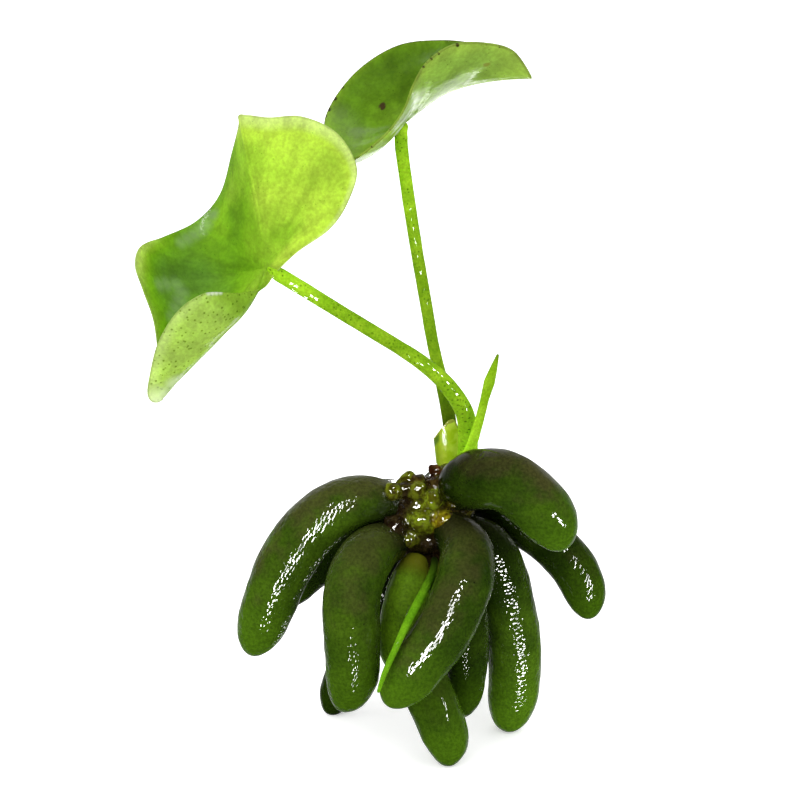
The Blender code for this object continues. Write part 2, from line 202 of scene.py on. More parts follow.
def wetSkin(tree, colour, film, drops, bead, blur=0.06):
    # matt plant tissue under a film of water, whose drops break the highlights into beads
    height = bead * mm
    water = put(tree, "Bump", {"Height": drops, "Distance": height, "Strength": 1.0})
    skin = put(tree, "Bump", {"Height": drops, "Distance": height * wetTissue["skinShare"], "Strength": 1.0})
    return put(tree, "BsdfPrincipled", {
        "Base Color": colour, "Roughness": wetTissue["roughness"], "IOR": wetTissue["ior"],
        "Specular IOR Level": 0.0, "Normal": skin.outputs[0],
        "Coat Weight": film, "Coat Roughness": blur, "Coat IOR": wetTissue["waterIor"],
        "Coat Normal": water.outputs[0],
    }).outputs[0]


# small helpers for the shapes
def readPoints(mesh):
    points = np.empty(len(mesh.vertices) * 3)
    mesh.vertices.foreach_get("co", points)
    return points.reshape(-1, 3)


def writePoints(mesh, points):
    mesh.vertices.foreach_set("co", np.asarray(points, float).ravel())
    mesh.update()


def writeReading(mesh, name, values):
    attribute = mesh.attributes.new(name, "FLOAT", "POINT")
    attribute.data.foreach_set("value", np.asarray(values, float))


def activePiece(name):  # the piece that was just added, given its own name
    piece = bpy.context.object
    piece.name = name
    piece.data.name = name
    return piece


def addSheet(name, columns, rows):  # a flat grid, with its points' shares of the way across and up
    bpy.ops.mesh.primitive_grid_add(x_subdivisions=columns, y_subdivisions=rows, size=2)
    sheet = activePiece(name)
    flat = readPoints(sheet.data)
    return sheet, (1 + flat[:, 0]) / 2, (1 + flat[:, 1]) / 2


def writeAlong(mesh, name, shares, values):  # a reading given at some shares of the piece's length
    along = np.empty(len(mesh.vertices))
    mesh.attributes["along"].data.foreach_get("value", along)
    writeReading(mesh, name, np.interp(along, shares, values))


def applyModifier(obj, kind, **settings):
    bpy.context.view_layer.objects.active = obj
    modifier = obj.modifiers.new(kind.title(), kind)
    for name, value in settings.items():
        setattr(modifier, name, value)
    bpy.ops.object.modifier_apply(modifier=modifier.name)


def clouds(name, size, depth=1):
    texture = bpy.data.textures.new(name, "CLOUDS")
    texture.noise_scale = size * mm
    texture.noise_depth = depth
    return texture


def swell(obj, texture, height):  # height in mm, from the deepest to the highest
    applyModifier(obj, "DISPLACE", texture=texture, texture_coords="LOCAL", strength=height * mm)


def writeSkyward(obj):  # how far the surface looks up, from -1 to 1
    normals = np.array([vertex.normal.z for vertex in obj.data.vertices])
    writeReading(obj.data, "skyward", normals)


skins = {}  # the finished piece that stands for each node


def dress(obj, node, slot, *materials):
    skins[node] = obj
    for material in materials:
        obj.data.materials.append(material)
    bpy.ops.object.select_all(action="DESELECT")
    obj.select_set(True)
    bpy.context.view_layer.objects.active = obj
    bpy.ops.object.shade_smooth()
    obj.select_set(False)
    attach(obj, "root")
    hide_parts(node)


routeSteps = 16  # straight steps from one point of a route to the next


def withEnds(knots):  # and one more point beyond each end, which the curve steers by
    return [2 * knots[0] - knots[1], *knots, 2 * knots[-1] - knots[-2]]


def addRoute(points):  # one smooth curve through the points
    bpy.ops.curve.primitive_bezier_curve_add()
    route = bpy.context.object
    spline = route.data.splines[0]
    spline.bezier_points.add(len(points) - 2)
    spline.resolution_u = routeSteps
    knots = withEnds([place(point) for point in points])
    for k, knot in enumerate(spline.bezier_points):
        reach = (knots[k + 2] - knots[k]) / 6  # gives the same curve as through does
        knot.handle_left_type = "FREE"
        knot.handle_right_type = "FREE"
        knot.co = knots[k + 1]
        knot.handle_left = knots[k + 1] - reach
        knot.handle_right = knots[k + 1] + reach
    return route


def knotDistances(points):  # mm along the route at each of its points
    knots = withEnds(np.array(points, float))
    distances = [0.0]
    for before, start, end, after in zip(knots, knots[1:], knots[2:], knots[3:]):
        shares = np.linspace(0, 1, routeSteps + 1)
        fine = np.array([through(before, start, end, after, t) for t in shares])
        distances.append(distances[-1] + np.linalg.norm(np.diff(fine, axis=0), axis=1).sum())
    return np.array(distances)


def through(before, start, end, after, t):  # the smooth curve from start to end, at t of the way
    bend = 2 * before - 5 * start + 4 * end - after
    turn = 3 * start - before - 3 * end + after
    return 0.5 * (2 * start + (end - before) * t + bend * t**2 + turn * t**3)


def addStalk(name, points, radiusAt, sides, rings):
    # a ball drawn out into a straight stalk, given its girth ring by ring, then bent along its route
    length = knotDistances(points)[-1]
    bpy.ops.mesh.primitive_uv_sphere_add(segments=sides, ring_count=rings, radius=1)
    stalk = activePiece(name)
    ball = readPoints(stalk.data)
    along = length * (1 + ball[:, 2]) / 2
    girth = np.hypot(ball[:, 0], ball[:, 1])
    girth[girth < 1e-6] = 1  # at the poles
    scale = radiusAt(along, length) / girth
    straight = np.column_stack([ball[:, 0] * scale, ball[:, 1] * scale, along]) * mm
    writePoints(stalk.data, straight)
    writeReading(stalk.data, "along", along / length)
    writeReading(stalk.data, "distance", along)
    route = addRoute(points)
    applyModifier(stalk, "CURVE", object=route, deform_axis="POS_Z")
    bpy.data.objects.remove(route)
    return stalk


def roundEnd(along, length, reach):  # 1 along the body, falling to 0 round the far end
    beyond = np.clip((along - length + reach) / reach, 0, 1)
    return np.sqrt(1 - beyond**2)


# tubers: the cluster of banana-shaped roots, mm from the crown's axis and the floor; light is the painted
# light and shade along each, dark where other pieces shade it
tubers = {
    "tuber_left": dict(
        radius=3.65, taper=0.24, tone=0.62, brown=0.8, light=(1.15, 0.95, 0.95, 0.95),
        route=[(-2.9, -1, 32.6), (-6.4, -2.4, 33.8), (-9.9, -3.5, 33.4), (-13.7, -4.5, 31),
               (-17.1, -5, 26.3), (-19.3, -5, 20.7), (-21.75, -4.5, 13.5)],
    ),
    "tuber_left_rear": dict(
        radius=2.75, neck=0.5, tone=0.3, brown=0.4, light=(0.35, 0.35, 0.35, 0.4),
        route=[(-2.9, 0.8, 29.6), (-6.4, 3, 27.2), (-9.8, 4.9, 24.4), (-13.4, 6.1, 21.4),
               (-16.1, 6.4, 18.8), (-18.6, 6.3, 15.6)],
    ),
    "tuber_front_left": dict(
        radius=3.6, taper=0.2, tone=0.5, brown=0.6, light=(0.5, 0.95, 0.95, 0.7),
        route=[(-3.1, -3.4, 28.8), (-6.2, -7.2, 28.8), (-8.1, -10.2, 26.8), (-8.8, -12.2, 23.6),
               (-8.7, -13.2, 19.3), (-8.7, -13.4, 14.7), (-9.9, -13, 9.7)],
    ),
    "tuber_front_small": dict(
        radius=2.75, neck=0.42, tone=0.75, brown=0.1, light=(1.1, 1.45, 1.35, 1.25),
        young=True, ripple=0.3, sallow=1,
        route=[(-0.5, -3, 26.6), (-1.4, -5.8, 24.3), (-2.3, -7.9, 21.2), (-2.8, -9, 17.3),
               (-2.8, -9.2, 12.8)],
    ),
    "tuber_front": dict(
        radius=3.6, tone=0.28, brown=0.7, light=(0.4, 0.8, 0.95, 1.0), ripple=0.6,
        route=[(3.1, -3.3, 31.1), (5.4, -7.5, 29.4), (5.4, -10.5, 27), (4.3, -12.5, 24.3),
               (2.3, -14.4, 20.7), (-0.5, -15.7, 17.2), (-4.5, -16.3, 12.1)],
    ),
    "tuber_lowest": dict(
        radius=3.2, neck=0.5, stands=True, tone=0.4, brown=0.2, light=(0.6, 0.75, 0.9, 1.15), ripple=0.3,
        route=[(1.3, 0.3, 24.4), (0.3, -0.7, 20), (-0.5, -2.9, 16), (0, -5.6, 11.5),
               (1.8, -7.6, 7.2), (3.1, -8.3, 3.7), (3.6, -8.4, -0.15)],
    ),
    "tuber_inner": dict(
        radius=2.65, neck=0.5, tone=0.25, brown=0.3, light=(0.3, 0.5, 0.65, 0.8),
        route=[(3.1, -1.5, 26.2), (4.9, -3.1, 22.8), (5.8, -3.4, 18.3), (5.9, -2.8, 13.2),
               (5.6, -2.2, 8.3), (4.8, -2, 3.5)],
    ),
    "tuber_right_low": dict(
        radius=3.5, neck=0.5, stands=True, tone=0.42, brown=0.2, light=(0.3, 0.55, 1.35, 1.6),
        route=[(5.1, -0.3, 29.5), (8.4, 0, 26.8), (10, 1, 22.5), (11.1, 1.5, 17.7),
               (12, 1.6, 12.2), (12, 1.6, 6), (11.2, 1.4, -0.15)],
    ),
    "tuber_right_rear": dict(
        radius=3.1, tone=0.4, brown=0.5, light=(0.1, 0.14, 0.42, 0.8), ripple=0.6,
        route=[(4.4, 2.2, 32.4), (8.7, 4.6, 31), (14.2, 5.2, 27), (18, 5.2, 23.5),
               (20.6, 4.8, 19.8), (22, 3.9, 14.8)],
    ),
    "tuber_right_top": dict(
        radius=3.8, neck=0.66, tone=0.35, brown=0.9, light=(0.05, 0.2, 0.9, 1.0), ripple=0.25,
        route=[(4.4, -3.3, 35.3), (5.6, -6.2, 37.6), (7.5, -8.2, 38.9), (10.1, -9.5, 39.1),
               (12.9, -10.3, 37.6), (15.4, -10.5, 34.9), (17.8, -10.3, 30.6)],
    ),
    "tuber_left_low": dict(
        radius=2.5, neck=0.5, stands=True, tone=0.3, brown=0.3, light=(0.25, 0.25, 0.25, 0.25),
        route=[(-1.6, 1.2, 25.6), (-4.1, 3.6, 20), (-6.9, 5.3, 14.3), (-9.2, 6.4, 8.5),
               (-10.7, 6.8, 4), (-12, 6.6, -0.15)],
    ),
    "tuber_back_right": dict(
        radius=2.8, neck=0.5, stands=True, tone=0.45, brown=0.4,
        route=[(2.1, 2.3, 27.6), (3.3, 6.2, 25.6), (4.8, 10.2, 21.6), (5.6, 12.6, 15.5),
               (6, 13.4, 8), (5.8, 13.6, -0.15)],
    ),
    "tuber_back_left": dict(
        radius=2.8, neck=0.42, tone=0.35, brown=0.5,
        route=[(-0.9, 2.9, 27.7), (-1.8, 6.6, 25), (-3.6, 10.4, 21.8), (-5, 13, 17),
               (-5.7, 13.8, 11.4), (-5.8, 13.6, 5.6)],
    ),
    "tuber_back_up_right": dict(
        radius=3.0, neck=0.5, tone=0.5, brown=0.7,
        route=[(1.2, 3.6, 32.4), (3.2, 9, 30.9), (7, 13.4, 28), (9.2, 15.6, 24.2),
               (10.2, 16.2, 20)],
    ),
    "tuber_back_up_left": dict(
        radius=2.9, neck=0.48, tone=0.42, brown=0.6,
        route=[(-1.6, 2.9, 31.9), (-5, 8.6, 29.3), (-8.8, 12.6, 26.6), (-11.2, 14.4, 22.6),
               (-12.2, 15.2, 16.8)],
    ),
}
tuberShape = dict(  # what a tuber has unless it gives its own
    sides=96, rings=160,
    neck=0.58,  # share of the full radius, at the crown
    neckLength=0.34,  # share of the length over which it fills out
    buttLength=0.3,  # of the radius, rounded where it meets the crown
    taper=0.14,
    tipLength=1.55,  # of the radius
    lumpSize=3.2, lumpHeight=0.22,
    dimpleSize=0.9, dimpleHeight=0.05,
    lightAt=(0.0, 0.22, 0.55, 1.0),  # of the length, where the painted light and shade along the skin is given
    light=(0.6, 1.0, 1.0, 1.1),
    ripple=1.0,  # of the water on it
    sallow=0,  # how pale its neck is
    young=False,
    stands=False,  # on its tip
)


def addTuber(name, tuber, materials):
    tuber = {**tuberShape, **tuber}
    radius = tuber["radius"]

    def girth(along, length):
        share = along / length
        filled = np.clip(share / tuber["neckLength"], 0, 1)
        neck = tuber["neck"] + (1 - tuber["neck"]) * filled * (2 - filled)
        thin = 1 - tuber["taper"] * np.clip(2 * share - 1, 0, 1) ** 2
        butt = roundEnd(-along, 0, radius * tuber["buttLength"])
        return radius * neck * thin * butt * roundEnd(along, length, tuber["tipLength"] * radius)

    stalk = addStalk(name + "_skin", tuber["route"], girth, tuber["sides"], tuber["rings"])
    swell(stalk, tuberLumps, tuber["lumpHeight"])
    swell(stalk, tuberDimples, tuber["dimpleHeight"])
    if tuber["stands"]:  # pressed flat against the floor
        points = readPoints(stalk.data)
        points[:, 2] = np.maximum(points[:, 2], 0)
        writePoints(stalk.data, points)
    writeSkyward(stalk)
    for kind in ("tone", "brown", "ripple", "sallow"):
        writeReading(stalk.data, kind, np.full(len(stalk.data.vertices), tuber[kind]))
    # the painted light and shade along the tuber, kept as the reading shade
    writeAlong(stalk.data, "shade", tuber["lightAt"], tuber["light"])
    slot = "young_tuber_skin" if tuber["young"] else "tuber_skin"
    dress(stalk, name, slot, materials[slot])


# each pair named At is where a colour comes in: none at the first value, all of it at the second
tuberLook = dict(
    dark=(0.016, 0.036, 0.0026),
    light=(0.046, 0.093, 0.0045),
    patchSize=4.5, patchDepth=1.8,
    tip=(0.054, 0.122, 0.0042), tipAt=(0.5, 1.02),  # shares of the length
    # neck: painted shade where the tuber meets the crown and the tubers round it
    neck=(0.012, 0.020, 0.003), neckShadeAt=(0.26, 0.04),
    scar=(0.04, 0.022, 0.006), scarAt=(0.9955, 0.999),  # where the tip grew last
    brown=(0.046, 0.045, 0.0127), brownAt=(0.15, 0.9), brownEnds=(1.0, 0.8),  # on what faces up
    mottleSize=2.6, mottleDepth=1.6,
    stippleSize=0.38, stipple=(0.72, 1.28),
    pore=(0.009, 0.012, 0.003), poreSpacing=1.5, poreAt=(0.10, 0.05),
    poreGroupSize=3.1, poreGroupAt=(0.55, 0.62),
    youngTint=(1.5, 1.5, 1.1),
    sallow=(0.12, 0.13, 0.007), sallowAt=(0.28, 0.1),  # at a pale neck
    fleck=(-4.0, -7.7, 23.4), fleckSize=0.36, fleckEdge=(1.3, 0.8),  # a dark mark on the young one
    filmSize=2.8, filmAt=(0.32, 0.55), film=(0.3, 1.0),
    bead=0.085, beadSize=0.62,
)


def tuberSkin(name, young):
    look = tuberLook
    material, tree = newMaterial(name)
    along = reading(tree, "along")
    patches = drift(tree, look["patchSize"], 3, look["patchDepth"])
    tone = calc(tree, "ADD", reading(tree, "tone"), patches)
    colour = blend(tree, remap(tree, tone, 0, 1), look["dark"], look["light"])
    colour = blend(tree, remap(tree, along, *look["tipAt"]), colour, look["tip"])
    # painted shade at the neck
    colour = blend(tree, remap(tree, along, *look["neckShadeAt"]), colour, look["neck"])
    mottle = drift(tree, look["mottleSize"], 3, look["mottleDepth"])
    upper = remap(tree, calc(tree, "ADD", reading(tree, "skyward"), mottle), *look["brownAt"])
    browning = times(tree, upper, reading(tree, "brown"), remap(tree, along, *look["brownEnds"]))
    colour = blend(tree, browning, colour, look["brown"])
    stipple = remap(tree, grain(tree, look["stippleSize"], 3, 0.7), 0.3, 0.7, *look["stipple"])
    # darkened and lightened by the painted light and shade along the piece, with the stipple
    colour = tint(tree, colour, times(tree, stipple, reading(tree, "shade")))
    pore = times(tree, remap(tree, cells(tree, look["poreSpacing"]), *look["poreAt"]),
                 remap(tree, grain(tree, look["poreGroupSize"], 1), *look["poreGroupAt"]))
    colour = blend(tree, pore, colour, look["pore"])
    colour = blend(tree, remap(tree, along, *look["scarAt"]), colour, look["scar"])
    if young:
        colour = tint(tree, colour, look["youngTint"])
    sallow = times(tree, remap(tree, along, *look["sallowAt"]), reading(tree, "sallow"))
    colour = blend(tree, sallow, colour, look["sallow"])
    if young:
        edge = [look["fleckSize"] * mm * share for share in look["fleckEdge"]]
        fleck = remap(tree, distanceTo(tree, place(look["fleck"])), *edge)
        colour = blend(tree, fleck, colour, look["pore"])
    film = remap(tree, grain(tree, look["filmSize"], 2), *look["filmAt"], *look["film"])
    drops = times(tree, beading(tree, look["beadSize"]), reading(tree, "ripple"))
    surface(tree, wetSkin(tree, colour, film, drops, look["bead"]))
    return material


tuberLumps = clouds("tuberLumps", tuberShape["lumpSize"])
tuberDimples = clouds("tuberDimples", tuberShape["dimpleSize"])
tuberSkins = {
    "tuber_skin": tuberSkin("tuberSkin", young=False),
    "young_tuber_skin": tuberSkin("youngTuberSkin", young=True),
}
for name, tuber in tubers.items():
    addTuber(name, tuber, tuberSkins)
print("tubers grown:", len(tubers))


# stems, the young rolled leaf and the thin root, each with its radius at every point of its route,
# and at some shares of its length the painted light and shade along its skin and how much of its film shows
stalks = {
    "stem_left": dict(
        slot="stem", skin="stemSkin", sides=48, rings=260,
        route=[(5.6, 0.9, 36.6), (5.8, 0.5, 41), (5.25, -0.9, 45.1), (3.1, -2.4, 49.1),
               (0.25, -3, 52.05), (-2.8, -2.8, 54.15), (-8.9, -2.5, 57.97), (-17.5, -2, 63.35),
               (-19.1, -1.85, 64.1)],
        radii=[1.25, 1.25, 1.15, 1.05, 0.96, 0.88, 0.86, 0.9, 0.6],
        light=((0, 1.5), (0.15, 1.2), (0.4, 1.0), (0.55, 0.85), (0.75, 0.95), (0.88, 1.25), (1, 1.4)),
        wet=((0, 1), (0.46, 1), (0.5, 0.0), (0.79, 0.0), (0.82, 1), (1, 1)),
    ),
    "stem_right": dict(
        slot="stem", skin="stemSkin", sides=48, rings=260,
        route=[(3.4, 3.4, 36.6), (3.6, 3.3, 41.1), (2.7, 2.8, 46.7), (1.4, 2.6, 52.7),
               (0.4, 2.5, 58.6), (-1, 2.3, 67.1), (-2.3, 2, 76.2), (-2.6, 1.6, 79.8),
               (-2.15, 1.05, 81.8)],
        radii=[0.95, 0.9, 0.82, 0.74, 0.76, 0.78, 0.78, 0.82, 0.5],
        # light: painted shade on its foot, under the left stem and the sheath
        light=((0, 0.12), (0.09, 0.16), (0.2, 0.5), (0.3, 0.8), (0.6, 0.85), (0.8, 1.15), (1, 1.3)),
        wet=((0, 0), (0.42, 0), (0.46, 0.9), (0.72, 0.9), (0.76, 0.0), (1, 0.0)),
    ),
    "young_leaf": dict(
        slot="young_leaf", skin="youngLeafSkin", sides=48, rings=160,
        route=[(3.9, -0.6, 35.6), (4.9, -1.2, 38.2), (6.05, -2, 40.6), (6.75, -2.2, 43),
               (7.35, -2.1, 45.3), (7.8, -1.9, 47.2), (8.35, -1.7, 49.3), (8.85, -1.6, 51),
               (9.4, -1.5, 52.9)],
        radii=[0.5, 0.6, 0.66, 0.6, 0.56, 0.56, 0.69, 0.48, 0.14],
        light=((0, 1.95), (0.3, 1.55), (0.6, 1), (0.93, 0.85), (1, 0.45)),
    ),
    "thin_root": dict(
        slot="root", skin="rootSkin", sides=32, rings=160,
        route=[(1.6, -2.9, 26), (1.4, -6.6, 26), (0.5, -10.4, 25.4), (-0.7, -13.7, 24.4),
               (-1.9, -15.9, 22.9), (-3.4, -17.5, 20), (-4.7, -18.7, 17.3), (-5.45, -19.1, 15)],
        radii=[0.45, 0.5, 0.55, 0.55, 0.5, 0.42, 0.34, 0.2],
    ),
}
stalkShape = dict(  # what a stalk has unless it gives its own
    endLength=1.2,  # of the last radius
    rippleSize=2.4, rippleHeight=0.06,
    light=((0, 1), (1, 1)),
    wet=((0, 0.3), (1, 0.3)),
)


def addThinStalk(name, stalk, material):
    stalk = {**stalkShape, **stalk}
    knots = knotDistances(stalk["route"])
    radii = stalk["radii"]

    def girth(along, length):
        ends = roundEnd(along, length, radii[-1] * stalk["endLength"]) * roundEnd(-along, 0, radii[0])
        return np.interp(along, knots, radii) * ends

    piece = addStalk(name + "_skin", stalk["route"], girth, stalk["sides"], stalk["rings"])
    swell(piece, stalkRipples, stalk["rippleHeight"])
    writeAlong(piece.data, "shade", *zip(*stalk["light"]))
    writeAlong(piece.data, "wet", *zip(*stalk["wet"]))
    dress(piece, name, stalk["slot"], material)


stalkColours = {
    "stemSkin": dict(base=(0.22, 0.43, 0.012), light=(0.34, 0.57, 0.022), dot=(0.11, 0.235, 0.006)),
    "youngLeafSkin": dict(base=(0.27, 0.50, 0.012), light=(0.38, 0.62, 0.030)),
    # rootSkin's tip colour: painted shade on the root's end at the crown
    "rootSkin": dict(base=(0.12, 0.32, 0.008), light=(0.18, 0.42, 0.012), tip=(0.03, 0.06, 0.005)),
}
stalkLook = dict(
    patchSize=2.2, patchAt=(0.35, 0.7),
    stippleSize=0.3, stipple=(0.86, 1.14),
    dotsAround=12, dotSpacing=0.42, dotSpread=0.8, dotAt=(0.36, 0.2),
    dotGroupSize=1.7, dotGroupAt=(0.38, 0.56),
    # tipAt: shares of the length, the painted shade darkest at the crown end
    tipAt=(0.5, 0.05),
    bead=0.04, beadsAround=7, beadSpacing=0.64, beadSpread=0.6, beadAt=(0.41, 0.3),
    seeThrough=0.3,  # share of the light that shines through
)


def stalkSkin(name, base, light, dot=None, tip=None):
    look = stalkLook
    material, tree = newMaterial(name)

    def rows(around, spacing, spread):  # distance to the nearest of points in rows along the stalk
        unrolled = put(tree, "CombineXYZ", {
            0: times(tree, acrossUv(tree), around),
            1: calc(tree, "DIVIDE", reading(tree, "distance"), spacing),
        })
        inputs = {"Vector": unrolled.outputs[0], "Scale": 1.0, "Randomness": spread}
        return put(tree, "TexVoronoi", inputs).outputs["Distance"]

    colour = blend(tree, remap(tree, grain(tree, look["patchSize"], 3), *look["patchAt"]), base, light)
    stipple = remap(tree, grain(tree, look["stippleSize"], 2, 0.6), 0.3, 0.7, *look["stipple"])
    # darkened and lightened by the painted light and shade along the stalk, with the stipple
    colour = tint(tree, colour, times(tree, stipple, reading(tree, "shade")))
    if dot:
        dots = rows(look["dotsAround"], look["dotSpacing"], look["dotSpread"])
        shown = remap(tree, grain(tree, look["dotGroupSize"], 2), *look["dotGroupAt"])
        colour = blend(tree, times(tree, remap(tree, dots, *look["dotAt"]), shown), colour, dot)
    # tip: painted shade on the root's end at the crown, where it comes out from under it
    if tip:
        colour = blend(tree, remap(tree, reading(tree, "along"), *look["tipAt"]), colour, tip)
    gap = rows(look["beadsAround"], look["beadSpacing"], look["beadSpread"])
    film = times(tree, remap(tree, gap, *look["beadAt"]), reading(tree, "wet"))
    skin = wetSkin(tree, colour, film, domes(tree, gap), look["bead"])
    surface(tree, shineThrough(tree, skin, colour, look["seeThrough"]))
    return material


stalkRipples = clouds("stalkRipples", stalkShape["rippleSize"])
stalkSkins = {name: stalkSkin(name, **colours) for name, colours in stalkColours.items()}
for name, stalk in stalks.items():
    addThinStalk(name, stalk, stalkSkins[stalk["skin"]])
print("stems, young leaf and root grown")


